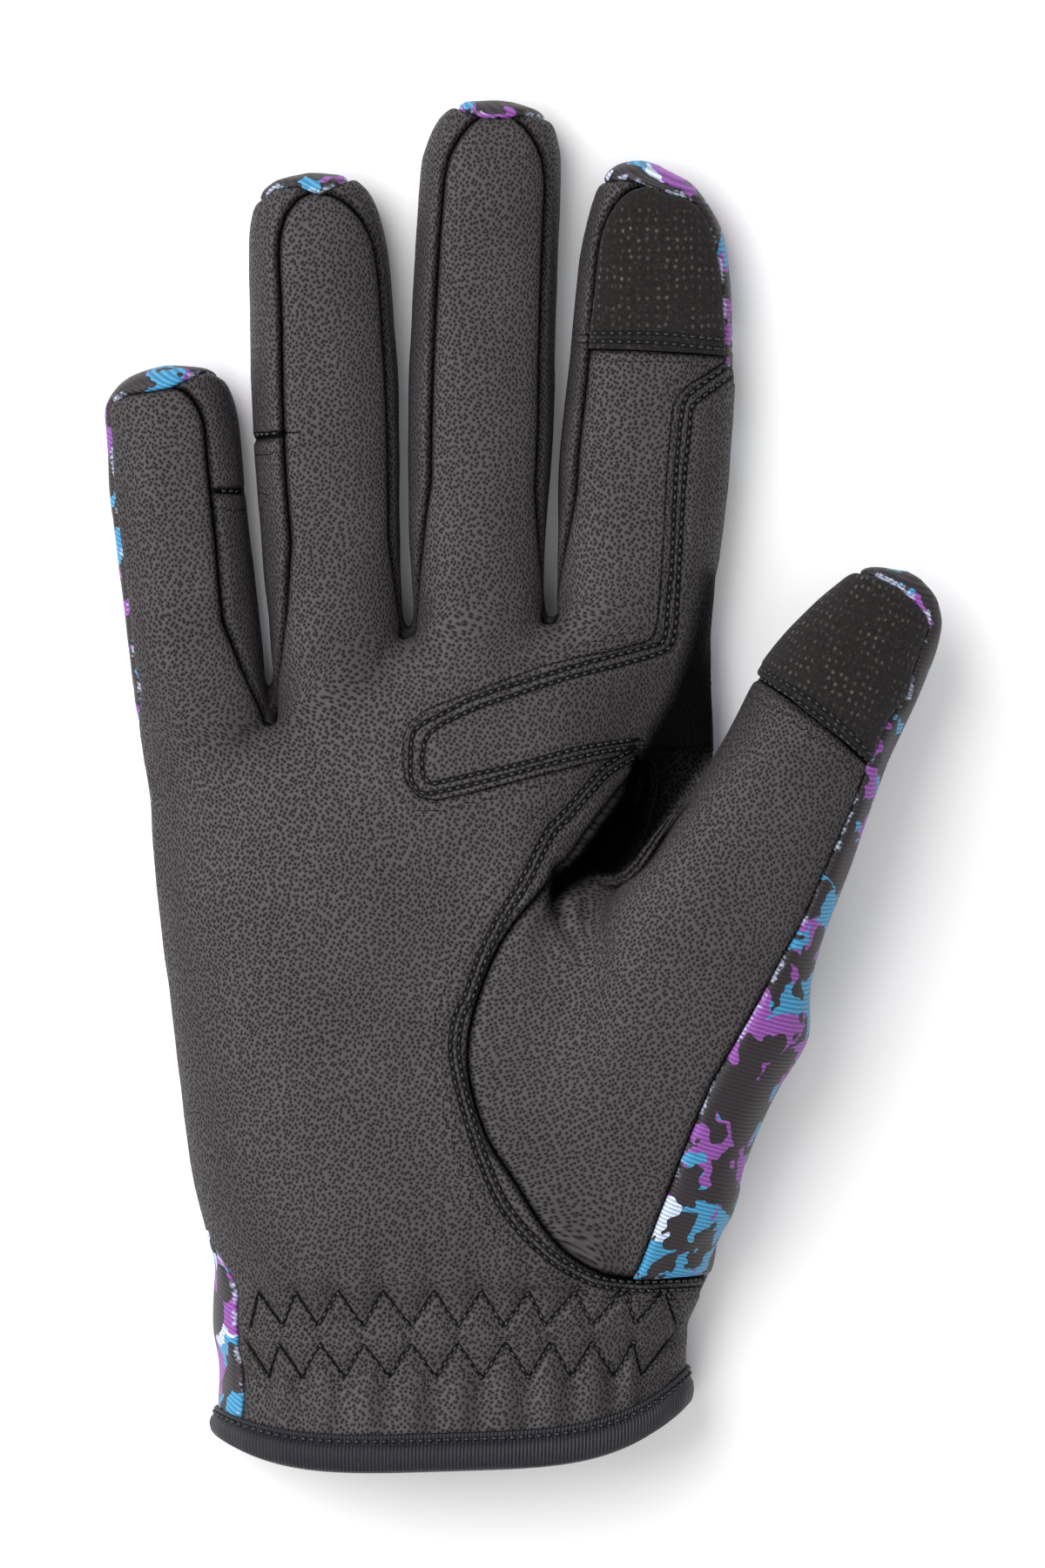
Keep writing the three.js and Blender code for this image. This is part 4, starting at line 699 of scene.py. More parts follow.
def line_near(line, x, y, reach=9.0):
    """Distance seen from above to a line, no further than reach, and the share along it."""
    away = np.full(len(x), reach)
    share = np.ones(len(x))
    low, high = line.min(0) - reach, line.max(0) + reach
    near = np.nonzero((x > low[0]) & (x < high[0]) & (y > low[1]) & (y < high[1]))[0]
    for part in np.array_split(near, max(1, len(near) // 20000)):
        gap = np.hypot(x[part][:, None] - line[None, :, 0], y[part][:, None] - line[None, :, 1])
        nearest = gap.argmin(1)
        away[part] = np.minimum(reach, gap[np.arange(len(part)), nearest])
        share[part] = nearest / (len(line) - 1)
    return away, share


def beside_line(line, x, y, reach=3.0):
    """Distance seen from above to a line, positive on its left, no further than reach."""
    ahead = unit(np.gradient(line, axis=0))
    away, share = line_near(line, x, y, reach)
    nearest = np.round(share * (len(line) - 1)).astype(int)
    dx, dy = x - line[nearest, 0], y - line[nearest, 1]
    left = ahead[nearest, 0] * dy - ahead[nearest, 1] * dx
    past = np.abs(ahead[nearest, 0] * dx + ahead[nearest, 1] * dy) > 0.4
    return np.where(past | (away >= reach), np.copysign(away, left), left)


# Seams, each zero on its line
ARC_LINE = curve_through(np.array(THUMB_ARC) * (KNUCKLE_HALF, PALM_LENGTH), 1.5)
FAR_RIGHT = 3 * KNUCKLE_HALF
ARC_OUTLINE = np.concatenate([ARC_LINE, [(FAR_RIGHT, ARC_LINE[-1, 1]), (FAR_RIGHT, ARC_LINE[0, 1])]])
OVERLAY_OUTLINE = np.array(OVERLAY_EDGE)
THUMB_OUTLINE = np.array(THUMB_EDGE)
TIP_OUTLINES = [np.array(edge) for edge in TIP_EDGES]
PIT_OUTLINE = np.array(PIT_EDGE)
HOLLOW_OUTLINE = np.array(HOLLOW_EDGE)


def arc_seam(p):
    return signed_distance(ARC_OUTLINE, p[:, 0], p[:, 1])


def surface_distance(tree, p):
    return np.array([tree.find_nearest(point)[3] for point in p.tolist()])


def thumb_body(p):
    """Positive where the skin comes from the thumb's own body."""
    near = (p[:, 0] > -5) & (p[:, 1] > 15) & (p[:, 1] < 165)
    value = np.full(len(p), -20.0)  # far from the thumb
    part = p[near]
    value[near] = surface_distance(made["hand"], part) - surface_distance(made["thumb"], part)
    return value


def thumb_region(p):
    return np.maximum(arc_seam(p), thumb_body(p))


def back_seam(p):
    """Positive on the printed back: its edge runs round the glove at a share of the local thickness."""
    x, y, z = p.T
    u, along = palm_place(x, y)
    share = mix(eased(PALM_LEFT_SEAM, 1, along), eased(PALM_RIGHT_SEAM, 1, along),
                np.clip(u * 2 + 0.5, 0, 1))
    on_palm = share * palm_top(along) - z
    which, along, side = nearest_finger(x, y)
    right = SEAM_RIGHT[which]
    right = np.where(which == 3, mix(right, SEAM_LEFT[0], np.clip((along - 0.5) / 0.12, 0, 1)), right)
    share = mix(SEAM_LEFT[which], right, np.clip(side * 2 + 0.5, 0, 1))
    on_finger = share * eased(FINGER_HEIGHTS, 1, along) * FINGER_THICKNESS - z
    on_hand = mix(on_palm, on_finger, ramp(y - crotch_line(x), -5, 5))
    along, _, _ = digit_place("thumb", x, y)
    low, top = eased(THUMB_HEIGHTS, 2, along), eased(THUMB_HEIGHTS, 1, along)
    on_thumb = mix(low, top, THUMB_INNER_SEAM) * THUMB_TOP - z
    return mix(on_hand, on_thumb, ramp(thumb_body(p), -2, 2))


def thumb_fabric_seam(p):
    return signed_distance(THUMB_OUTLINE, *as_seen(p))


def thumb_patch_seam(p):
    along, _, side = digit_place("thumb", p[:, 0], p[:, 1])
    return (along - THUMB_PATCH_SEAM - THUMB_PATCH_SLANT * side) * THUMB_LENGTH


def finger_tip_seam(p):
    which, _, _ = nearest_finger(p[:, 0], p[:, 1])
    x, y = as_seen(p)
    return np.choose(which, [signed_distance(outline, x, y) for outline in TIP_OUTLINES])


def arch_seam(p):
    """Positive on the palm's leather, negative on the side strips between the fingers."""
    which, along, side = nearest_finger(p[:, 0], p[:, 1])
    share = np.where(side < 0, ARCH_LEFT[which], ARCH_RIGHT[which])
    opened = mix(1.06, share, np.clip((along + 0.1) / 0.36, 0, 1))
    narrowing = np.clip((along - ARCH_START) / (ARCH_END[which] - ARCH_START), 0, 1)
    arch = opened * (1 - narrowing ** 2.4) ** (1 / 2.4)
    on_finger = np.where(np.isnan(share), 1, arch - np.abs(side)) * FINGER_WIDTHS[which] / 2
    return np.maximum(on_finger, crotch_line(p[:, 0]) - 1 - p[:, 1])


def middle_line(p):
    which, _, side = nearest_finger(p[:, 0], p[:, 1])
    return side * FINGER_WIDTHS[which] / 2


def piecing_seam(p):
    which, along, _ = nearest_finger(p[:, 0], p[:, 1])
    return (along - PIECING_SEAMS[which]) * FINGER_LENGTHS[which]


def index_patch_seam(p):
    along, _, _ = digit_place("index", p[:, 0], p[:, 1])
    which, _, _ = nearest_finger(p[:, 0], p[:, 1])
    return np.where(which == 3, (along - INDEX_PATCH_SEAM) * FINGER_LENGTHS[3], -5)


def overlay_seam(p):
    """Positive under the overlay, which keeps clear of the back, the thumb and the index grip."""
    clear = np.minimum(-back_seam(p) - 1, np.minimum(-arc_seam(p), -thumb_body(p)) - 0.4)
    return np.minimum(np.minimum(signed_distance(OVERLAY_OUTLINE, *as_seen(p)), clear),
                      -index_patch_seam(p) + 0.2)


def pit_press(p):
    """How far the slot of the fold is pressed down, in millimetres."""
    depth = PIT_DEPTH * ramp(signed_distance(PIT_OUTLINE, *as_seen(p)), -0.7, 2.1)
    return np.minimum(depth, np.maximum(p[:, 2] - 3.2, 0)) * (p[:, 2] > 3)


def hollow_shade(p):
    """How much painted shade darkens the skin in the hollow beside the thumb, along the creases and in the
    slot, from 0 to 1.
    """
    shade = ramp(signed_distance(HOLLOW_OUTLINE, *as_seen(p)), -3, 1.6)
    shade *= 1 - ramp(thumb_body(p), -1.5, 0.5)
    x, y = as_seen(p)
    for points, width, depth in CREASES:
        away, share = line_near(curve_through(points), x, y, 4 * width)
        crease = min(depth / 2, 1) * (1 - ramp(share, 0.2, 0.9)) * np.exp(-(away / width) ** 2)
        shade = np.maximum(shade, crease)
    return np.maximum(shade, ramp(pit_press(p), 0.05, 1.6))


def joint_weight(p):
    """1 on the upper side where fingers and thumb run into the palm, whose steps are evened out."""
    x, y, z = p.T
    above = y - crotch_line(x)
    by_slit = np.exp(-(np.abs(x[:, None] - CROTCH_XS[1:4]).min(1) / 5) ** 2)
    fingers = ramp(above, -30, -22) * (1 - ramp(above + 7 * by_slit, 1, 8))
    thumb = (1 - ramp(np.abs(thumb_body(p)), 1.5, 5)) * (1 - ramp(y, 78, 90))
    return np.maximum(fingers, thumb) * ramp(z, 6, 9)


# Tags of the skin's triangles, by the piece that they belong to
(FRONT, BACK, PALM, THUMB, THUMB_TIP, INDEX_TIP, STRIP, PIECED, DROPPED, OVERLAY) = range(10)
FIRST_STRIP = 20
STRIP_TAGS = {name: FIRST_STRIP + i for i, name in enumerate(
    ("little_ring", "ring_middle", "middle_index", "little_tip", "ring_tip"))}


def build_skin():
    """Lofts and joins the bodies, then cuts the skin along its seams."""
    made["slits"] = find_slits()
    # the flat end of the palm's shell lies well beyond the wrist edge, where it is cut away
    hand = [shell_of(palm_surface, -0.09, 1, PALM_RINGS)]
    hand += [digit_shell(name, FINGER_RINGS) for name in FINGER_NAMES]
    thumb = [digit_shell("thumb", THUMB_RINGS)]
    made["hand"], made["thumb"] = tree_of(hand), tree_of(thumb)
    points, triangles = remeshed(*merged(hand + thumb))
    points = smoothed(points, triangles, SMOOTHING)
    points = evened(points, triangles, joint_weight(points), EVENING)
    points[:, 2] = np.maximum(points[:, 2], 0)
    made["rows"] = stitch_rows()
    points, triangles = refined(points, triangles, near_features(points)[triangles].any(1), FINE_EDGE)
    skin = Skin(smoothed(points, triangles, 2), triangles)
    skin.points[:, 2] = np.maximum(skin.points[:, 2], 0)

    def above_wrist(p):
        u, _ = palm_place(p[:, 0], p[:, 1])
        return p[:, 1] - wrist_line(u)

    skin.cut(FRONT, above_wrist, FRONT, DROPPED)
    kept = skin.tags != DROPPED
    skin.triangles, skin.tags = skin.triangles[kept], skin.tags[kept]
    skin.cut(FRONT, back_seam, BACK)
    skin.cut(FRONT, thumb_region, THUMB, PALM)
    skin.cut(THUMB, thumb_fabric_seam, BACK)
    skin.cut(THUMB, thumb_patch_seam, THUMB_TIP)
    skin.cut(PALM, finger_tip_seam, BACK)
    skin.cut(PALM, arch_seam, PALM, STRIP)
    skin.cut(STRIP, middle_line, STRIP)
    skin.cut(STRIP, piecing_seam, PIECED)
    skin.cut(PALM, index_patch_seam, INDEX_TIP)
    skin.cut(PALM, overlay_seam, OVERLAY)
    name_strips(skin)
    settle_slips(skin)
    return skin


def near_features(p):
    """True for points near a seam or a row of stitches, where the mesh is made finer."""
    x, y = as_seen(p)
    near = (signed_distance(PIT_OUTLINE, x, y) > -2) & (p[:, 2] > 3)
    anywhere = np.ones(len(p), bool)
    on_thumb = thumb_region(p) > 0
    in_front = ~on_thumb & (back_seam(p) < 0)
    on_strip = in_front & (arch_seam(p) < 0)
    for where, seams in (
            (anywhere, (back_seam, thumb_region)), (on_thumb, (thumb_fabric_seam, thumb_patch_seam)),
            (in_front, (arch_seam, finger_tip_seam, index_patch_seam, overlay_seam)),
            (on_strip, (piecing_seam,))):
        for seam in seams:
            near |= where & (np.abs(seam(p)) < FEATURE_REACH)
    upper = p[:, 2] > UPPER_SKIN
    for line in sum(made["rows"].values(), []):
        near |= upper & (line_near(line, x, y, 3)[0] < 1.1)
    for points, width, _ in CREASES:
        near |= upper & (line_near(curve_through(points), x, y, 5)[0] < width + 0.8)
    return near


def name_strips(skin):
    """Gives the strips between the fingers their own tags."""
    middles = skin.points[skin.triangles].mean(1)
    which, _, side = nearest_finger(middles[:, 0], middles[:, 1])
    gap = which + (side > 0)  # 1 between little and ring, 2 ring and middle, 3 middle and index
    for tag in (STRIP, PIECED):
        own = skin.tags == tag
        pieced = own & (tag == PIECED) & (gap == 1)
        skin.tags[own & (gap <= 1)] = STRIP_TAGS["little_ring"]
        skin.tags[own & (gap == 2)] = STRIP_TAGS["ring_middle"]
        skin.tags[own & (gap >= 3)] = STRIP_TAGS["middle_index"]
        skin.tags[pieced & (which == 0)] = STRIP_TAGS["little_tip"]
        skin.tags[pieced & (which == 1)] = STRIP_TAGS["ring_tip"]


def neighbours(triangles):
    """Pairs of triangles that share an edge, and the edges' end points."""
    keys = edge_keys(triangles).ravel()
    owner = np.repeat(np.arange(len(triangles)), 3)
    order = np.argsort(keys, kind="stable")
    keys, owner = keys[order], owner[order]
    same = keys[:-1] == keys[1:]
    return owner[:-1][same], owner[1:][same], keys[:-1][same]


def settle_slips(skin):
    """Small cut-off slips of one piece go to the piece that they share most edges with."""
    first, second, _ = neighbours(skin.triangles)
    group = np.arange(len(skin.triangles))
    inside = skin.tags[first] == skin.tags[second]
    a, b = first[inside], second[inside]
    while True:
        low = np.minimum(group[a], group[b])
        before = group.copy()
        np.minimum.at(group, a, low)
        np.minimum.at(group, b, low)
        group = group[group]
        if (group == before).all():
            break
    size = np.bincount(group, minlength=len(group))
    for tag in np.unique(skin.tags):
        own = np.unique(group[skin.tags == tag])
        largest = own[np.argmax(size[own])]
        for slip in own:
            if slip == largest or size[slip] > (SMALL_STRIP if tag >= FIRST_STRIP else SMALL_SLIP):
                continue
            members = group == slip
            outer = np.concatenate([skin.tags[second[members[first] & ~members[second]]],
                                    skin.tags[first[members[second] & ~members[first]]]])
            if len(outer):
                skin.tags[members] = np.bincount(outer).argmax()


# Rows of stitches
def stitch_rows():
    """The routes of every row of stitches, seen from above."""
    arc = curve_through(ARC_OUTER_ROW)

    def zigzag(xs, ys):
        # the rows climb a little towards the thumb
        return even_line([(x, ys[i % 2] + 0.0004 * max(x - 5, 0) ** 2) for i, x in enumerate(xs)], 0.4)

    return {
        "overlay": [curve_through(row) for row in OVERLAY_ROWS],
        "arc": [arc, beside(arc, ROW_GAP)],
        "grips": [curve_through(row) for row in INDEX_PATCH_ROWS + THUMB_PATCH_ROWS],
        "elastic": [zigzag(UPPER_ZIGZAG_XS, UPPER_ZIGZAG_YS), zigzag(LOWER_ZIGZAG_XS, LOWER_ZIGZAG_YS)],
        "piecing": [even_line(row, 0.3) for row in PIECING_ROWS],
    }


def row_distances(p):
    """Distance to the nearest first row of a pair, and to the nearest second one, signed by the side."""
    x, y = as_seen(p)
    first, second = np.full(len(p), 3.0), np.full(len(p), 3.0)
    for name, lines in made["rows"].items():
        for i, line in enumerate(lines):
            kept = second if i % 2 else first
            away = beside_line(line, x, y) * (1.6 if name == "elastic" else 1)
            closer = (np.abs(away) < np.abs(kept)) & (p[:, 2] > UPPER_SKIN)
            kept[closer] = away[closer]
    return first, second


# Relief of the skin
def gather_relief(p):
    """Puffs between the gathers of the elastic, in millimetres along the normal."""
    x, y, z = p.T
    u, _ = palm_place(x, y)
    edge = y - wrist_line(u)
    front = ramp(z, 5, 10)
    valleys = np.array(LOWER_ZIGZAG_XS[1::2])
    phase = np.interp(x, valleys, 2 * np.pi * np.arange(len(valleys)))
    fan = ramp(edge, 4, 7) * (1 - ramp(edge, 12, 16.5))
    relief = front * fan * -0.5 * np.cos(phase)
    peaks = np.array(UPPER_ZIGZAG_XS[1::2])
    phase = np.interp(x, peaks, 2 * np.pi * np.arange(len(peaks)))
    relief += front * ramp(edge, 24, 29) * (1 - ramp(edge, 30, 40)) * -0.28 * np.cos(phase)
    relief += front * ramp(edge, 10, 13) * (1 - ramp(edge, 27, 31)) * -0.35
    under = (1 - front) * ramp(edge, 5, 9) * (1 - ramp(edge, 26, 38))
    wave = np.cos(2 * np.pi * (x + 0.12 * y + 2 * np.sin(x * 0.21)) / 7.8)
    relief -= under * (0.35 + 0.5 * wave)
    return relief


def row_relief(p):
    """The thread pulls the leather down along each row."""
    x, y = as_seen(p)
    relief = np.zeros(len(p))
    for name, depth, width in (("overlay", 0.22, 0.45), ("arc", 0.26, 0.5), ("grips", 0.18, 0.45),
                               ("elastic", 0.34, 0.6)):
        away = np.min([line_near(line, x, y, 3)[0] for line in made["rows"][name]], axis=0)
        relief -= depth * np.exp(-(away / width) ** 2)
    return np.where(p[:, 2] > UPPER_SKIN, relief, 0)


def crease_relief(p):
    """Creases as grooves that run out at their last point."""
    x, y = as_seen(p)
    relief = np.zeros(len(p))
    for points, width, depth in CREASES:
        away, share = line_near(curve_through(points), x, y, 4 * width)
        relief -= depth * (1 - ramp(share, 0.35, 1)) * np.exp(-(away / width) ** 2)
    return np.where(p[:, 2] > 6, relief, 0)


def slow_relief(p):
    """Gentle unevenness of leather over a soft filling."""
    broad = np.array([noise.noise(Vector(point) / 22) for point in p.tolist()])
    small = np.array([noise.noise(Vector(point) / 7 + Vector((9, 4, 2))) for point in p.tolist()])
    return (0.45 * broad + 0.1 * small) * ramp(p[:, 2], 0.2, 3)


# Pieces that lie over a neighbour's edge, and that neighbour
LAPS = {(PALM, THUMB), (INDEX_TIP, PALM), (THUMB_TIP, THUMB), (OVERLAY, THUMB), (INDEX_TIP, OVERLAY)}


def boundary_points(skin):
    """Points along the edges between pieces: {piece: {kind: points}}."""
    first, second, keys = neighbours(skin.triangles)
    tags = np.where(skin.tags == OVERLAY, PALM, skin.tags)
    apart = tags[first] != tags[second]
    table = {}
    for a, b, key in zip(tags[first][apart].tolist(), tags[second][apart].tolist(), keys[apart].tolist()):
        ends = (key // WIDE, key % WIDE)
        for own, other in ((a, b), (b, a)):
            kind = "over" if (own, other) in LAPS else "under" if (other, own) in LAPS else "inseam"
            pieced = own >= FIRST_STRIP and other >= FIRST_STRIP
            table.setdefault(own, {}).setdefault("pieced" if pieced else kind, set()).update(ends)
    return {own: {kind: skin.points[sorted(ids)] for kind, ids in kinds.items()}
            for own, kinds in table.items()}


def nearest_away(targets, points, reach):
    """Distance from each point to the nearest target, no further than reach."""
    tree = KDTree(len(targets))
    for i, target in enumerate(targets.tolist()):
        tree.insert(target, i)
    tree.balance()
    return np.array([min(tree.find(point)[2], reach) for point in points.tolist()])


def edge_relief(tag, points, sizes):
    """Height over the skin near a piece's edges, and how near the closest seam is, from 0 to 1."""
    relief, closeness = np.zeros(len(points)), np.zeros(len(points))
    width, depth = sizes.seam_width / MM, sizes.seam_depth / MM
    if tag == BACK:
        width, depth = 0.8 * width, 0.45 * depth
    for kind, targets in made["edges"][tag].items():
        away = nearest_away(targets, points, 12)
        closeness = np.maximum(closeness, np.clip(1 - away / 1.6, 0, 1))
        if kind == "inseam":
            near = np.clip(1 - away / width, 0, 1)
            relief -= depth * (1 - np.sqrt(1 - near ** 2))
            relief += 0.12 * np.exp(-((away - 1.35 * width) / width) ** 2)
        elif kind == "pieced":
            relief -= 0.45 * np.exp(-(away / 0.5) ** 2)
        elif kind == "over":
            relief += 0.5 * (1 - ramp(away, 1, 9)) - 0.3 * np.clip(1 - away / 0.5, 0, 1) ** 2
        else:
            relief -= 0.42 * (1 - ramp(away, 0, 2.2))
    return relief, closeness


def grain_place(tag, p):
    """Where points lie on the flat hide, in millimetres: across grows down the rounded sides."""
    x, y, z = p.T
    if tag in (THUMB, THUMB_TIP):
        along, across, side = digit_place("thumb", x, y)
        return np.stack([across + np.tanh(3 * side) * (eased(THUMB_HEIGHTS, 1, along) * THUMB_TOP - z),
                         along * THUMB_LENGTH], 1)
    u, along = palm_place(x, y)
    _, finger_along, side = nearest_finger(x, y)
    weight = ramp(y - crotch_line(x), -5, 5)
    top = mix(palm_top(along), eased(FINGER_HEIGHTS, 1, finger_along) * FINGER_THICKNESS, weight)
    return np.stack([x + np.tanh(3 * mix(u, side, weight)) * (top - z), y], 1)


def lay_on(piece, places, closeness, rows=(3.0, 3.0)):
    """Stores the place on the hide as UVs, and how near seams and rows are, for both sides of a wall. The
    seams' value can carry painted shade as well.
    """
    mesh = piece.data
    corners = np.empty(len(mesh.loops), np.int32)
    mesh.loops.foreach_get("vertex_index", corners)
    layer = mesh.uv_layers.new(name="hide")
    layer.data.foreach_set("uv", (places[corners % len(places)] * MM).ravel())
    for name, values in (("seam", closeness), ("first_row", rows[0]), ("second_row", rows[1])):
        layer = mesh.attributes.new(name, "FLOAT", "POINT")
        layer.data.foreach_set("value", np.resize(values, len(mesh.vertices)).astype(np.float32))


# Blender objects
def to_row(points):
    """From the shape's own millimetres to metres in the row frame."""
    return (points - (FRAME_MIDDLE[0], FRAME_MIDDLE[1], 0)) * MM


def new_object(name, points, faces, material, slot):
    """A smooth piece that rides on the glove's body."""
    mesh = bpy.data.meshes.new(name)
    mesh.from_pydata(to_row(points).tolist(), [], faces.tolist())
    mesh.polygons.foreach_set("use_smooth", [True] * len(mesh.polygons))
    mesh.materials.append(material)
    mesh.update()
    piece = bpy.data.objects.new(name, mesh)
    bpy.context.scene.collection.objects.link(piece)
    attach(piece, BODY)
    return piece


def rim_edges(triangles):
    """Start and end points of the edges that only one triangle has."""
    starts, ends = triangles.ravel(), np.roll(triangles, -1, axis=1).ravel()
    rim = ~np.isin(starts * WIDE + ends, ends * WIDE + starts)
    return starts[rim], ends[rim]


def walled(outer, inner, triangles):
    """Closed wall between two surfaces over the same triangles."""
    count = len(outer)
    a, b = rim_edges(triangles)
    faces = np.concatenate([triangles, triangles[:, ::-1] + count,
                            np.stack([b, a, a + count], 1), np.stack([b, a + count, b + count], 1)])
    return np.concatenate([outer, inner]), faces


def own_mesh(triangles):
    """The points that some triangles use, and the triangles numbered by them."""
    used, numbered = np.unique(triangles, return_inverse=True)
    return used, numbered.reshape(triangles.shape)


def panel(name, node, tags, material, slot, wall):
    """One sewn piece: its part of the skin with relief, and its thickness inwards."""
    skin, normals = made["skin"], made["normals"]
    sizes = bpy.context.scene.glove_sizes
    triangles = skin.triangles[np.isin(skin.tags, tags)]
    if not len(triangles):
        raise RuntimeError(f"{name} has no triangles")
    used, faces = own_mesh(triangles)
    points, out = skin.points[used], normals[used]
    edge, closeness = edge_relief(tags[0], points, sizes)
    shade = made["shade"][used]
    relief = made["relief"][used] + edge * (1 - shade)
    outer, inner = (points + out * height[:, None] for height in (relief, relief - wall))
    for side in (outer, inner):
        side[:, 2] = np.maximum(side[:, 2] - made["press"][used], OVER_TABLE)
    made["outer"].append((outer, faces))
    piece = new_object(name, *walled(outer, inner, faces), material, slot)
    # the seams' closeness goes out together with the painted shade of the hollow, creases and slot
    lay_on(piece, grain_place(tags[0], points), np.maximum(closeness, shade),
           [away[used] for away in made["row_distances"]])
    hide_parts(node)
    return piece


# Materials, with the pitch of their patterns in metres
PIT_PITCH = 0.00078
TWILL_PITCH = 0.0007  # the real ribs are 0.5 mm apart, and are drawn coarser so that they show
RIB_PITCH = 0.0006  # the real ones are 0.45 mm apart
DOT_PITCH = 0.0016
PLY_PITCH = 0.0007
BAND = 3.2  # bands of a wave texture in one unit at scale 1


def add_node(tree, kind, inputs=None, **settings):
    """Adds a node with its settings. An input is a value, or another node's output."""
    node = tree.nodes.new(kind)
    for key, value in settings.items():
        setattr(node, key, value)
    for key, value in (inputs or {}).items():
        if isinstance(value, bpy.types.NodeSocket):
            tree.links.new(value, node.inputs[key])
        else:
            node.inputs[key].default_value = value
    return node


def new_material(name, **shader_inputs):
    """A material with its shader's plain values set on the shader itself."""
    material = bpy.data.materials.new(name)
    material.use_nodes = True
    tree = material.node_tree
    shader = tree.nodes["Principled BSDF"]
    for key, value in shader_inputs.items():
        shader.inputs[key.replace("_", " ")].default_value = value
    place = add_node(tree, "ShaderNodeTexCoord").outputs["Object"]
    return material, tree, shader, place


def add_ramp(tree, factor, stops, interpolation="LINEAR"):
    """A colour ramp through (place, colour or grey) stops."""
    node = add_node(tree, "ShaderNodeValToRGB", {"Fac": factor})
    node.color_ramp.interpolation = interpolation
    elements = node.color_ramp.elements
    while len(elements) < len(stops):
        elements.new(1)
    for element, (place, colour) in zip(elements, stops):
        element.position = place
        element.color = (*colour, 1) if hasattr(colour, "__len__") else (colour, colour, colour, 1)
    return node.outputs["Color"]


def toned(tree, colour, *tones):
    """A colour multiplied by tones."""
    for tone in tones:
        colour = add_node(tree, "ShaderNodeMix", {0: 1.0, 6: colour, 7: tone},
                          data_type="RGBA", blend_type="MULTIPLY").outputs[2]
    return colour


def inked(tree, share, under, over):
    """A colour with another one laid over a share of it."""
    return add_node(tree, "ShaderNodeMix", {0: share, 6: under, 7: over}, data_type="RGBA").outputs[2]


def times(tree, *factors):
    product = factors[0]
    for factor in factors[1:]:
        product = add_node(tree, "ShaderNodeMath", {0: product, 1: factor}, operation="MULTIPLY").outputs[0]
    return product


def finish(material, colour, height=None, strength=0.6, depth=0.0002):
    """Links a material's colour and, where it has a height, its bump of a depth in metres."""
    tree = material.node_tree
    shader = tree.nodes["Principled BSDF"]
    tree.links.new(colour, shader.inputs["Base Color"])
    if height:
        bump = add_node(tree, "ShaderNodeBump", {"Strength": strength, "Distance": depth, "Height": height})
        tree.links.new(bump.outputs["Normal"], shader.inputs["Normal"])
    return material


def row_shade(tree, darkest):
    """Painted shade along the rows of stitches, which darkens the needle's holes and the groove."""
    away = []
    for name in ("first_row", "second_row"):
        row = add_node(tree, "ShaderNodeAttribute", attribute_name=name).outputs["Fac"]
        away.append(add_node(tree, "ShaderNodeMath", {0: row}, operation="ABSOLUTE").outputs[0])
    nearest = add_node(tree, "ShaderNodeMath", {0: away[0], 1: away[1]}, operation="MINIMUM")
    return add_ramp(tree, nearest.outputs[0], ((0.22, darkest), (0.55, 1)))


def grained_leather(name, ground, pit_colour):
    """Embossed synthetic leather: a dull charcoal skin with close dark pits, and painted shade that darkens
    its seams, creases, stitch rows and the hollow beside the thumb, near black where it is deepest.
    """
    material, tree, shader, _ = new_material(name, Roughness=0.6, IOR=1.5)
    hide = add_node(tree, "ShaderNodeUVMap", uv_map="hide").outputs["UV"]
    # the embossing roller pulls its pits into slanting, slightly wavy rows
    slanted = add_node(tree, "ShaderNodeMapping", {"Vector": hide, "Rotation": (0, 0, math.radians(33))})
    drift = add_node(tree, "ShaderNodeTexNoise", {"Vector": hide, "Scale": 90, "Detail": 1})
    bent = add_node(tree, "ShaderNodeMix", {0: 0.002, 4: slanted.outputs[0], 5: drift.outputs["Color"]},
                    data_type="VECTOR")
    cells = add_node(tree, "ShaderNodeTexVoronoi", {
        "Vector": bent.outputs[1], "Scale": 1 / PIT_PITCH, "Randomness": 0.66}, voronoi_dimensions="2D")
    pit = add_ramp(tree, cells.outputs["Distance"], ((0.1, 0), (0.4, 0.85), (0.58, 1)))
    fine = add_node(tree, "ShaderNodeTexNoise", {"Vector": hide, "Scale": 2600, "Detail": 2})
    broad = add_node(tree, "ShaderNodeTexNoise", {
        "Vector": hide, "Scale": 60, "Detail": 5, "Roughness": 0.6})
    tone = add_ramp(tree, broad.outputs["Fac"], ((0.3, 0.8), (0.7, 1.15)))
    speck = add_ramp(tree, fine.outputs["Fac"], ((0.35, 0.88), (0.68, 1.15)))
    seam = add_node(tree, "ShaderNodeAttribute", attribute_name="seam").outputs["Fac"]
    # painted shade: the seam value, holding the seams' closeness and the hollow's shade, turns the leather
    # darker, down to near black
    seam_and_hollow_shade = add_ramp(tree, seam, ((0.3, 1), (0.6, 0.5), (0.98, 0.04)))
    # painted shade along the rows of stitches
    row = row_shade(tree, 0.12)
    colour = toned(tree, inked(tree, pit, (*pit_colour, 1), (*ground, 1)), tone, speck, seam_and_hollow_shade, row)
    tree.links.new(add_ramp(tree, pit, ((0, 0.8), (1, 0.55))), shader.inputs["Roughness"])
    # nothing glints down in the creases, the holes and the pits: the painted shade takes the specular away
    # along with the colour
    glint = add_ramp(tree, times(tree, pit, seam_and_hollow_shade, row), ((0, 0.03), (1, 0.36)))
    tree.links.new(glint, shader.inputs["Specular IOR Level"])
    height = add_node(tree, "ShaderNodeMath", {0: pit, 1: row, 2: row}, operation="MULTIPLY_ADD")
    return finish(material, colour, height.outputs[0], depth=0.00025)


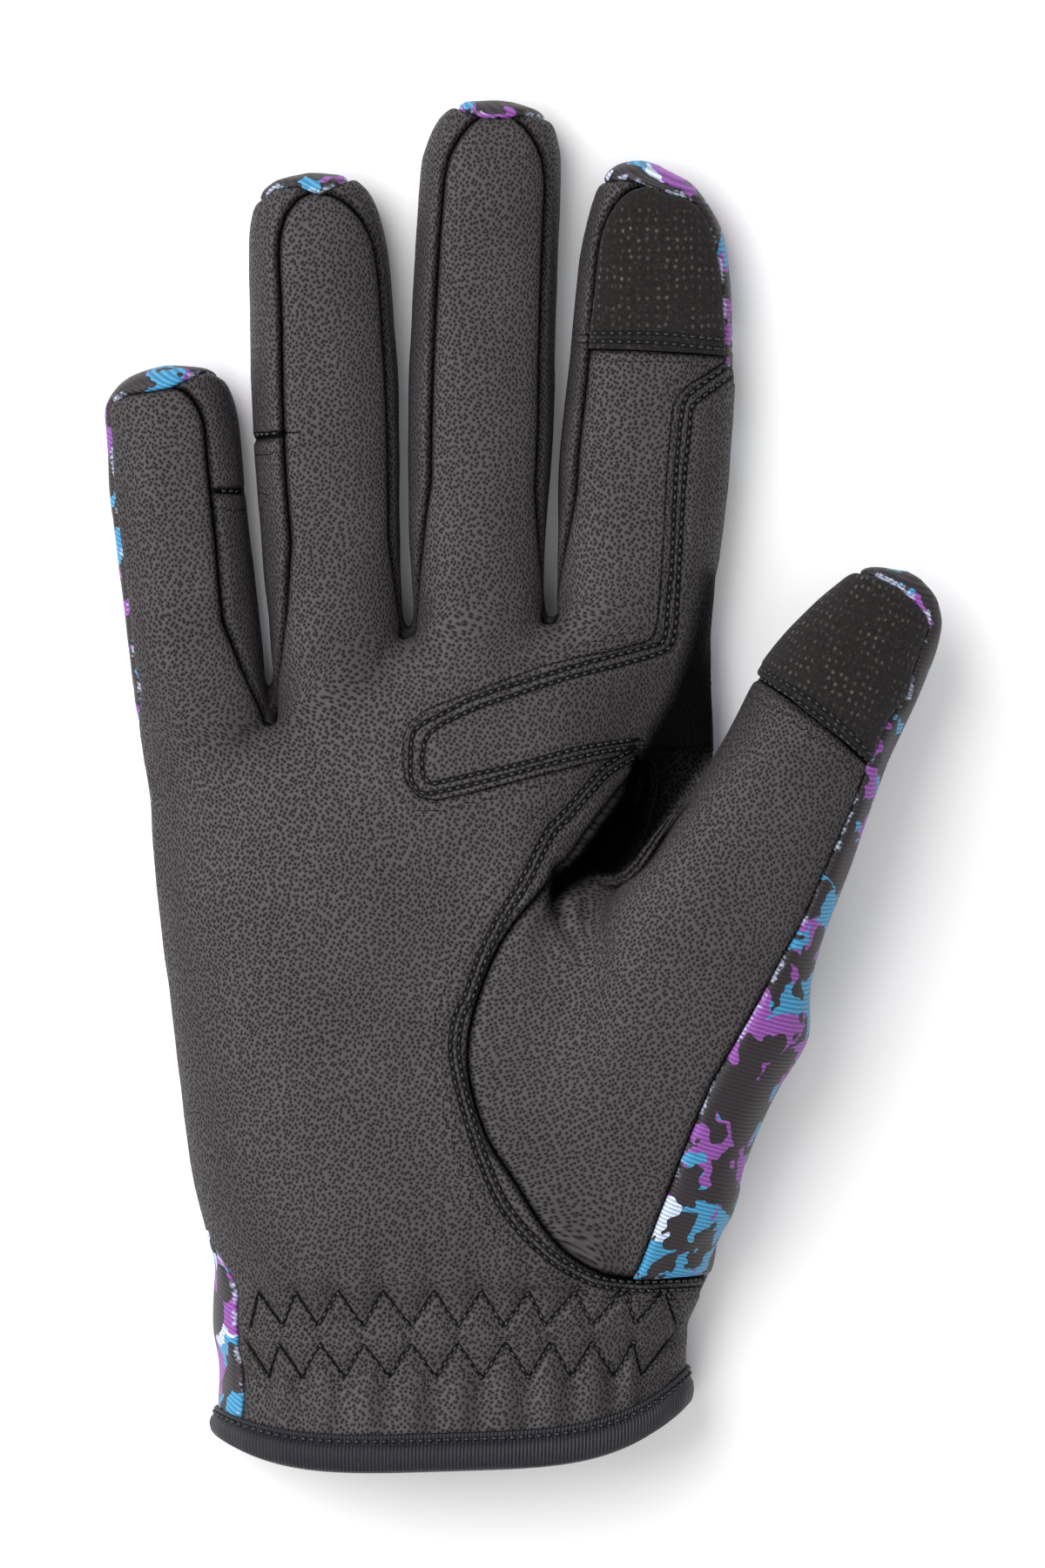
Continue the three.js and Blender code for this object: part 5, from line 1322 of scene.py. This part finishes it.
def printed_twill(colours):
    """Polyester twill with a mottled print: fine slanting ribs, with a painted satin shine on the raised
    yarns and painted shade between them.
    """
    material, tree, _, place = new_material(
        "printed_polyester_twill", Roughness=0.55, IOR=1.54, Specular_IOR_Level=0.35, Sheen_Weight=0.04)
    drift = add_node(tree, "ShaderNodeTexNoise", {
        "Vector": place, "Scale": 170, "Detail": 2, "Roughness": 0.6})
    bent = add_node(tree, "ShaderNodeMix", {0: 0.009, 4: place, 5: drift.outputs["Color"]},
                    data_type="VECTOR")
    # motifs 3 to 7 mm wide
    patches = add_node(tree, "ShaderNodeTexVoronoi", {"Vector": bent.outputs[1], "Scale": 185})
    blots = add_node(tree, "ShaderNodeTexNoise", {"Vector": bent.outputs[1], "Scale": 190, "Detail": 0})
    ink = add_node(tree, "ShaderNodeSeparateColor", {0: patches.outputs["Color"]})
    print_colour = add_ramp(tree, ink.outputs[0], (
        (0, colours.print_blue), (0.31, colours.print_violet), (0.62, colours.print_dark),
        (0.92, colours.print_pale), (0.96, colours.print_blue)), "CONSTANT")
    dark_blots = add_ramp(tree, blots.outputs["Fac"], ((0, 0), (0.52, 1)), "CONSTANT")
    mottled = inked(tree, dark_blots, print_colour, (*colours.print_dark, 1))
    # yarns drawn up by the seams get a painted glint, nearly white
    seam = add_node(tree, "ShaderNodeAttribute", attribute_name="seam").outputs["Fac"]
    grit = add_node(tree, "ShaderNodeTexNoise", {"Vector": place, "Scale": 1900, "Detail": 2})
    patch = add_node(tree, "ShaderNodeTexNoise", {"Vector": place, "Scale": 260, "Detail": 1})
    caught = add_ramp(tree, patch.outputs["Fac"], ((0.42, 0.35), (0.6, 1)))
    painted_seam_glint = add_ramp(tree, times(tree, seam, grit.outputs["Fac"], caught), ((0.3, 0), (0.5, 0.7)))
    drawn = inked(tree, painted_seam_glint, mottled, (*colours.print_pale, 1))
    slanted = add_node(tree, "ShaderNodeMapping", {"Vector": place, "Rotation": (0, 0.6, math.radians(28))})
    ribs = add_node(tree, "ShaderNodeTexWave", {
        "Vector": slanted.outputs[0], "Scale": 1 / TWILL_PITCH / BAND, "Distortion": 0.4, "Detail": 1,
        "Detail Scale": 2}, bands_direction="Y")
    # painted light and shade: the ribs lighten and darken the colour
    rib_shine_and_shade = add_ramp(tree, ribs.outputs["Fac"], ((0.2, 0.62), (0.8, 1.2)))
    return finish(material, toned(tree, drawn, rib_shine_and_shade), ribs.outputs["Fac"], 0.5, 0.00018)


def dotted_suede(colour, dot):
    """Microfibre suede with small silicone dots: a dead black nap, and grey dots 1.6 mm apart, painted as
    glints that show in patches.
    """
    material, tree, shader, place = new_material(
        "dotted_microfibre_suede", Roughness=0.95, IOR=1.45, Specular_IOR_Level=0.25,
        Sheen_Weight=0.06, Sheen_Roughness=0.6)
    hide = add_node(tree, "ShaderNodeUVMap", uv_map="hide").outputs["UV"]
    nap = add_node(tree, "ShaderNodeTexNoise", {
        "Vector": place, "Scale": 1700, "Detail": 4, "Roughness": 0.8})
    fibre = add_ramp(tree, nap.outputs["Fac"], ((0.35, 0.35), (0.58, 1.2), (0.72, 4)))
    dots = add_node(tree, "ShaderNodeTexVoronoi", {
        "Vector": hide, "Scale": 1 / DOT_PITCH, "Randomness": 0.35}, voronoi_dimensions="2D")
    spot = add_ramp(tree, dots.outputs["Distance"], ((0.12, 1), (0.26, 0)))
    # the dots' painted grey glint shows only in patches
    dot_patches = add_node(tree, "ShaderNodeTexNoise", {
        "Vector": hide, "Scale": 180, "Detail": 4, "Roughness": 0.7})
    shown = add_ramp(tree, dot_patches.outputs["Fac"], ((0.44, 0.02), (0.66, 0.6)))
    visible = times(tree, spot, shown)
    dotted = inked(tree, visible, toned(tree, (*colour, 1), fibre), (*dot, 1))
    tree.links.new(add_ramp(tree, visible, ((0, 0.95), (1, 0.45))), shader.inputs["Roughness"])
    height = add_node(tree, "ShaderNodeMath", {0: nap.outputs["Fac"], 1: spot}, operation="ADD")
    # painted shade along the rows of stitches
    return finish(material, toned(tree, dotted, row_shade(tree, 0.1)), height.outputs[0])


def ribbed_binding(colour):
    """Knitted stretch binding: blue-black yarn with fine cross ribs, whose catch of the light is painted
    into the colour as light and shade.
    """
    material, tree, _, _ = new_material(
        "ribbed_knit_binding", Roughness=0.5, IOR=1.5, Specular_IOR_Level=0.35)
    place = add_node(tree, "ShaderNodeUVMap", uv_map="length").outputs["UV"]
    ribs = add_node(tree, "ShaderNodeTexWave", {
        "Vector": place, "Scale": 1 / RIB_PITCH / BAND, "Distortion": 0.5, "Detail": 1},
        bands_direction="X")
    fuzz = add_node(tree, "ShaderNodeTexNoise", {"Vector": place, "Scale": 1500, "Detail": 3})
    rib_light_and_shade = add_ramp(tree, ribs.outputs["Fac"], ((0.2, 0.35), (0.9, 1.9)))
    fuzz_tone = add_ramp(tree, fuzz.outputs["Fac"], ((0.35, 0.7), (0.7, 1.5)))
    return finish(material, toned(tree, (*colour, 1), rib_light_and_shade, fuzz_tone), ribs.outputs["Fac"], 0.8)


def sewing_thread(colour):
    """Bonded polyester thread: near black, with a painted glint along the twist of its yarns."""
    material, tree, _, place = new_material("bonded_polyester_thread", Roughness=0.42, IOR=1.54)
    twist = add_node(tree, "ShaderNodeTexWave", {
        "Vector": place, "Scale": 1 / PLY_PITCH / BAND, "Distortion": 1}, bands_direction="DIAGONAL")
    ply_glint = add_ramp(tree, twist.outputs["Fac"], ((0.3, 0.45), (0.7, 1.2), (0.95, 3.6)))
    return finish(material, toned(tree, (*colour, 1), ply_glint))


def painted_floor(colour):
    """Matt studio floor paint: pale and even, with the faintest mottling."""
    material, tree, _, place = new_material("matt_studio_floor", Roughness=0.9)
    tint = add_node(tree, "ShaderNodeTexNoise", {"Vector": place, "Scale": 6, "Detail": 2})
    tone = add_ramp(tree, tint.outputs["Fac"], ((0.3, 0.985), (0.7, 1.0)))
    return finish(material, toned(tree, (*colour, 1), tone))


def stitches(name, routes, material):
    """Short raised threads along routes of points with normals."""
    sizes = bpy.context.scene.glove_sizes
    length, pitch, thick = (v / MM for v in (sizes.stitch_length, sizes.stitch_pitch, sizes.thread))
    sides = 6
    # along the stitch, its thickness there, and its height
    rings = ((-0.5, 0.25, -0.5), (-0.4, 0.8, 0), (-0.15, 1, 0.28), (0.15, 1, 0.28),
             (0.4, 0.8, 0), (0.5, 0.25, -0.5))
    angle = np.linspace(0, 2 * np.pi, sides, endpoint=False)
    bodies = []
    for line, out in routes:
        far = lengths_along(line)
        for at in np.arange(pitch / 2, far[-1] - length / 3, pitch):
            before, middle, after = values_at(np.array((at - 0.4, at, at + 0.4)), far, line)
            up = values_at(at, far, out)
            ahead = after - before
            ahead /= max(np.linalg.norm(ahead), 1e-6)
            side = np.cross(ahead, up)
            side /= max(np.linalg.norm(side), 1e-6)
            up = np.cross(side, ahead)
            grid = np.stack([
                middle + ahead * share * length + up * thick * rise
                + (np.cos(angle)[:, None] * side + np.sin(angle)[:, None] * up) * thick / 2 * wide
                for share, wide, rise in rings])
            bodies.append(lofted(grid))
    return new_object(name, *merged(bodies), material, "palm_leather")


def dropped_on(tree, line, steepest=0.12):
    """A line as it is seen in the photograph laid on the glove, with the surface's normals."""
    points, out = [], []
    eye = Vector(SEEN_FROM)
    for x, y in line.tolist():
        place, normal, _, _ = tree.ray_cast(eye, Vector((x, y, SEEN_HEIGHT)) - eye)
        if place is not None and normal.z > steepest:
            points.append(place[:])
            out.append(normal[:])
    return np.array(points), np.array(out)


def length_property(name, description, default):
    return FloatProperty(name=name, description=description, default=default, unit="LENGTH")


class GloveSizes(bpy.types.PropertyGroup):
    leather: length_property("Leather", "Thickness of the leather", 0.0012)
    twill: length_property("Twill", "Thickness of the printed back", 0.001)
    overlay: length_property("Overlay", "How far the overlay stands over the palm", 0.0006)
    seam_width: length_property(
        "Seam width", "How far from an inseam the leather starts to roll down", 0.0015)
    seam_depth: length_property("Seam depth", "Depth of an inseam's groove", 0.0011)
    stitch_length: length_property("Stitch length", "Length of the thread that shows", 0.0011)
    stitch_pitch: length_property("Stitch pitch", "From one stitch to the next", 0.0015)
    thread: length_property("Thread", "Thickness of the thread", 0.0005)
    binding: length_property("Binding", "Height of the wrist binding", 0.0056)


def colour_property(name, description, code):
    return FloatVectorProperty(name=name, description=description, default=linear(code), size=3,
                               subtype="COLOR", min=0, max=1)


class GloveColours(bpy.types.PropertyGroup):
    leather: colour_property("Leather", "Ground of the grained leather", "#3c383a")
    leather_pit: colour_property("Leather pits", "Pits of the grain", "#1e1b1d")
    suede: colour_property("Grip", "Suede of the finger grips", "#1a1716")
    # grey painted on the grip's dots as their glint
    suede_dot: colour_property("Grip dots", "Dots on the suede", "#686462")
    print_dark: colour_property("Print, dark", "Darkest ink of the back", "#261f24")
    print_blue: colour_property("Print, blue", "Blue ink of the back", "#3b8cb8")
    print_violet: colour_property("Print, violet", "Violet ink of the back", "#87489c")
    print_pale: colour_property("Print, pale", "Palest ink of the back", "#c3cfe8")
    binding: colour_property("Binding", "Knitted binding of the wrist", "#14151d")
    thread: colour_property("Thread", "Sewing thread", "#121114")
    floor: colour_property("Floor", "Studio floor", "#f7f7f7")


class GLOVE_OT_skin(bpy.types.Operator):
    """Shape the glove's skin, cut it along its seams and work out its relief"""

    bl_idname = "glove.skin"
    bl_label = "Skin and seams"

    def execute(self, context):
        colours = context.scene.glove_colours
        made["leather"] = grained_leather(
            "embossed_synthetic_leather", colours.leather, colours.leather_pit)
        made["thread"] = sewing_thread(colours.thread)
        skin = made["skin"] = build_skin()
        made["normals"] = corner_normals(skin.points, skin.triangles)
        made["relief"] = (gather_relief(skin.points) + row_relief(skin.points)
                          + crease_relief(skin.points) + slow_relief(skin.points))
        made["press"] = pit_press(skin.points)
        made["shade"] = hollow_shade(skin.points)
        made["row_distances"] = row_distances(skin.points)
        made["edges"] = boundary_points(skin)
        made["outer"] = []
        return {"FINISHED"}


class GLOVE_OT_leather(bpy.types.Operator):
    """Make the palm and the set-in thumb"""

    bl_idname = "glove.leather"
    bl_label = "Palm and thumb"

    def execute(self, context):
        wall = context.scene.glove_sizes.leather / MM
        panel("palm_leather", "palm_panel", (PALM, OVERLAY), made["leather"], "palm_leather", wall)
        panel("thumb_leather", "thumb_panel", (THUMB,), made["leather"], "palm_leather", wall)
        return {"FINISHED"}


class GLOVE_OT_strips(bpy.types.Operator):
    """Make the leather strips between the fingers"""

    bl_idname = "glove.strips"
    bl_label = "Finger side strips"

    def execute(self, context):
        wall = context.scene.glove_sizes.leather / MM
        for name, tag in STRIP_TAGS.items():
            panel(f"side_strip_{name}", f"fourchette_{name}", (tag,), made["leather"], "palm_leather", wall)
        return {"FINISHED"}


class GLOVE_OT_grips(bpy.types.Operator):
    """Make the suede grips on the tips of index finger and thumb"""

    bl_idname = "glove.grips"
    bl_label = "Finger grips"

    def execute(self, context):
        colours = context.scene.glove_colours
        suede = dotted_suede(colours.suede, colours.suede_dot)
        wall = context.scene.glove_sizes.leather / MM
        panel("index_grip", "index_tip_patch", (INDEX_TIP,), suede, "grip_suede", wall)
        panel("thumb_grip", "thumb_tip_patch", (THUMB_TIP,), suede, "grip_suede", wall)
        return {"FINISHED"}


class GLOVE_OT_back(bpy.types.Operator):
    """Make the printed back of the glove"""

    bl_idname = "glove.back"
    bl_label = "Printed back"

    def execute(self, context):
        twill = printed_twill(context.scene.glove_colours)
        wall = context.scene.glove_sizes.twill / MM
        panel("printed_back", "back_panel", (BACK,), twill, "printed_twill", wall)
        return {"FINISHED"}


class GLOVE_OT_overlay(bpy.types.Operator):
    """Make the overlay sewn on the palm below the index finger"""

    bl_idname = "glove.overlay"
    bl_label = "Palm overlay"

    def execute(self, context):
        skin, normals = made["skin"], made["normals"]
        height = context.scene.glove_sizes.overlay / MM
        used, faces = own_mesh(skin.triangles[skin.tags == OVERLAY])
        points, out = skin.points[used], normals[used]
        away = nearest_away(points[np.unique(rim_edges(faces)[0])], points, 6)
        edge, closeness = edge_relief(PALM, points, context.scene.glove_sizes)
        shade = made["shade"][used]
        ground = made["relief"][used] + edge * (1 - shade)
        drop = np.stack([0 * edge, 0 * edge, made["press"][used]], 1)
        rise = height * (0.45 + 0.55 * np.sqrt(1 - np.clip(1 - away / 0.6, 0, 1) ** 2)) * (1 - 0.6 * shade)
        outer = points + out * (ground + rise)[:, None] - drop
        inner = points + out * (ground + 0.04)[:, None] - drop
        made["outer"].append((outer, faces))
        piece = new_object("palm_overlay", *walled(outer, inner, faces), made["leather"], "palm_leather")
        # painted shade: the overlay's own edge, within 0.7 mm, and the hollow go into the seam value that
        # darkens the leather
        closeness = np.maximum(np.maximum(closeness, np.clip(1 - away / 0.7, 0, 1)), shade)
        lay_on(piece, grain_place(PALM, points), closeness, [row[used] for row in made["row_distances"]])
        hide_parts("index_reinforcement")
        return {"FINISHED"}


class GLOVE_OT_welt(bpy.types.Operator):
    """Make the turned-in edges of leather that stand up in the fold beside the thumb"""

    bl_idname = "glove.welt"
    bl_label = "Fold welt"

    def execute(self, context):
        tree = tree_of(made["outer"])
        line = curve_through(WELT, 0.35)
        beyond, _ = dropped_on(tree, beside(line, -1.6), -1)
        count = len(line)
        if len(beyond) != count:
            raise RuntimeError("the welt doesn't lie on the thumb")
        share = np.linspace(0, 1, count)
        smooth = np.polynomial.Polynomial.fit(share, beyond[:, 2], 4)(share)
        middle = np.column_stack([line, smooth + 0.1])
        ahead = np.gradient(middle, axis=0)
        side = unit(np.cross(ahead, (0, 0, 1)))
        # two plies of leather, each turned over along its top: across the welt, and up
        profile = ((-0.9, -3.2), (-0.95, -0.7), (-0.8, 0), (-0.5, 0.2), (-0.25, -0.1), (-0.16, -0.7),
                   (-0.08, -0.15), (0.15, 0.3), (0.5, 0.25), (0.7, -0.15), (0.8, -0.9), (0.85, -3.2))
        width = (0.35 + 0.65 * ramp(share, 0, 0.12)) * (1 - 0.75 * ramp(share, 0.45, 1))
        grid = np.stack([middle + side * (across * width)[:, None] + np.outer(up * width, (0, 0, 1))
                         for across, up in profile], 1)
        points, faces = lofted(grid)
        piece = new_object("thumb_fold_welt", points, faces, made["leather"], "palm_leather")
        # painted shade: a seam value of 0.55 paints the whole welt darker, as it stands in the fold
        lay_on(piece, points[:, :2], 0.55 * np.ones(len(points)))
        return {"FINISHED"}


class GLOVE_OT_binding(bpy.types.Operator):
    """Make the knitted binding round the wrist, with its row of stitches"""

    bl_idname = "glove.binding"
    bl_label = "Wrist binding"

    def execute(self, context):
        height = context.scene.glove_sizes.binding / MM
        stations = 460
        dense = np.linspace(0, 2 * np.pi, 4000)
        far = lengths_along(palm_surface(0 * dense, dense))
        angle = np.interp(np.linspace(0, far[-1], stations, endpoint=False), far, dense)
        edge, upper = palm_surface(0 * angle, angle), palm_surface(0 * angle + 0.045, angle)
        climb = unit(upper - edge)
        out = unit(np.cross(np.roll(edge, -1, axis=0) - np.roll(edge, 1, axis=0), climb))
        out *= np.sign((out * (edge - edge.mean(0))).sum(1).mean())
        lip = height + 0.1
        # up the wall, and out from it
        profile = ((lip, 0.0), (lip, 0.5), (lip - 0.4, 0.85), (lip - 0.95, 0.62), (lip - 1.45, 0.55),
                   (lip - 1.9, 0.95), (lip - 2.6, 1.35), (2.0, 1.55), (0.9, 1.5), (0.1, 1.3), (-0.4, 0.95),
                   (-0.7, 0.2), (-0.7, -0.8), (-0.5, -1.6), (0, -2.1), (1.2, -2.25), (4.4, -2.2),
                   (4.9, -1.8), (4.9, -1.25), (0.2, -1.25), (-0.1, -1.0), (-0.1, -0.2), (0.3, 0.0))
        wobble = 0.1 * np.sin(angle * 9) + 0.06 * np.sin(angle * 23)
        lower = 1 - 0.3 * np.exp(-((angle - np.pi) / 0.7) ** 2)  # it turns under at this side
        grid = np.stack([edge + climb * (up * np.where(up > 1, lower, 1))[:, None]
                         + out * (away * (1 + 0.5 * wobble * (away > 1)))[:, None] for up, away in profile])
        grid[..., 2] = np.maximum(grid[..., 2], 0.03)
        rows = len(profile)
        k, i = (m.ravel() for m in np.meshgrid(np.arange(rows), np.arange(stations), indexing="ij"))
        k2, i2 = (k + 1) % rows, (i + 1) % stations
        faces = np.stack([k * stations + i, k * stations + i2, k2 * stations + i2, k2 * stations + i], 1)
        material = ribbed_binding(context.scene.glove_colours.binding)
        piece = new_object("wrist_binding_knit", grid.reshape(-1, 3), faces, material, "knit_binding")
        reach = np.append(lengths_along(np.array(profile)), 60)
        layer = piece.data.uv_layers.new(name="length")
        step = far[-1] / stations
        uvs = np.stack([np.stack([i, i + 1, i + 1, i], 1) * step, np.stack([k, k, k + 1, k + 1], 1)], -1)
        uvs[..., 1] = reach[uvs[..., 1].astype(int)]
        layer.data.foreach_set("uv", (uvs * MM).ravel())
        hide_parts("wrist_binding")
        line = edge + climb * ((lip - 1.2) * lower)[:, None] + out * 0.74
        made["binding_row"] = (np.concatenate([line, line[:1]]), np.concatenate([out, out[:1]]))
        return {"FINISHED"}


class GLOVE_OT_stitches(bpy.types.Operator):
    """Sew the rows of stitches"""

    bl_idname = "glove.stitches"
    bl_label = "Stitches"

    def execute(self, context):
        tree = tree_of(made["outer"])
        for name, lines in made["rows"].items():
            routes = [dropped_on(tree, line) for line in lines]
            routes = [(line, out) for line, out in routes if len(line) > 4]
            stitches(f"stitches_{name}", routes, made["thread"])
        stitches("stitches_binding", [made["binding_row"]], made["thread"])
        return {"FINISHED"}


# The stage in metres: name, place, diameter and power of each light
LIGHTS = (("key", (-0.8, 0.5, 1.1), 1.5, 25), ("front", (-0.3, -0.8, 1.2), 1.2, 8))
WORLD_STRENGTH = 0.5
FLOOR_REACH = 3.0
FLOOR_GAP = 0.0002  # under the glove, so that the two don't fight for the same pixels


class GLOVE_OT_stage(bpy.types.Operator):
    """Set the floor, the lights and the camera"""

    bl_idname = "glove.stage"
    bl_label = "Floor, lights and camera"

    def execute(self, context):
        scene = context.scene
        mesh = bpy.data.meshes.new("floor")
        corners = ((-1, -1), (1, -1), (1, 1), (-1, 1))
        mesh.from_pydata([(x * FLOOR_REACH, y * FLOOR_REACH, 0) for x, y in corners], [], [(0, 1, 2, 3)])
        mesh.materials.append(painted_floor(scene.glove_colours.floor))
        floor = bpy.data.objects.new("floor", mesh)
        floor.location.z = -FLOOR_GAP
        scene.collection.objects.link(floor)
        for name, place, size, power in LIGHTS:
            light = bpy.data.lights.new(name, "AREA")
            light.shape = "DISK"
            light.size = size
            light.energy = power
            lamp = bpy.data.objects.new(name, light)
            lamp.location = place
            lamp.rotation_mode = "QUATERNION"
            lamp.rotation_quaternion = (-Vector(place)).to_track_quat("-Z", "Y")
            scene.collection.objects.link(lamp)
        world = bpy.data.worlds.new("studio")
        world.use_nodes = True
        background = world.node_tree.nodes["Background"]
        background.inputs["Color"].default_value = (1, 1, 1, 1)
        background.inputs["Strength"].default_value = WORLD_STRENGTH
        scene.world = world
        scene.view_settings.view_transform = "Standard"
        camera = bpy.data.cameras.new("camera")
        camera.lens = 200
        camera.sensor_width = 36
        camera.clip_end = 20
        viewer = bpy.data.objects.new("camera", camera)
        viewer.location = to_row(np.array(SEEN_FROM))
        scene.collection.objects.link(viewer)
        scene.camera = viewer
        return {"FINISHED"}


class GLOVE_PT_panel(bpy.types.Panel):
    """The glove's steps, sizes and colours"""

    bl_idname = "GLOVE_PT_panel"
    bl_label = "Riding glove"
    bl_space_type = "VIEW_3D"
    bl_region_type = "UI"
    bl_category = "Glove"

    def draw(self, context):
        for operator in OPERATORS:
            self.layout.operator(operator.bl_idname)
        for group in (context.scene.glove_sizes, context.scene.glove_colours):
            for name in group.bl_rna.properties.keys():
                if name not in ("rna_type", "name"):
                    self.layout.prop(group, name)


OPERATORS = (GLOVE_OT_skin, GLOVE_OT_leather, GLOVE_OT_strips, GLOVE_OT_grips, GLOVE_OT_back,
             GLOVE_OT_overlay, GLOVE_OT_welt, GLOVE_OT_binding, GLOVE_OT_stitches, GLOVE_OT_stage)
CLASSES = (GloveSizes, GloveColours, *OPERATORS, GLOVE_PT_panel)


def register():
    for cls in CLASSES:
        bpy.utils.register_class(cls)
    bpy.types.Scene.glove_sizes = PointerProperty(type=GloveSizes)
    bpy.types.Scene.glove_colours = PointerProperty(type=GloveColours)


def unregister():
    del bpy.types.Scene.glove_colours
    del bpy.types.Scene.glove_sizes
    for cls in reversed(CLASSES):
        bpy.utils.unregister_class(cls)


def main():
    register()
    for operator in OPERATORS:
        group, name = operator.bl_idname.split(".")
        getattr(getattr(bpy.ops, group), name)()


if __name__ == "__main__":
    main()
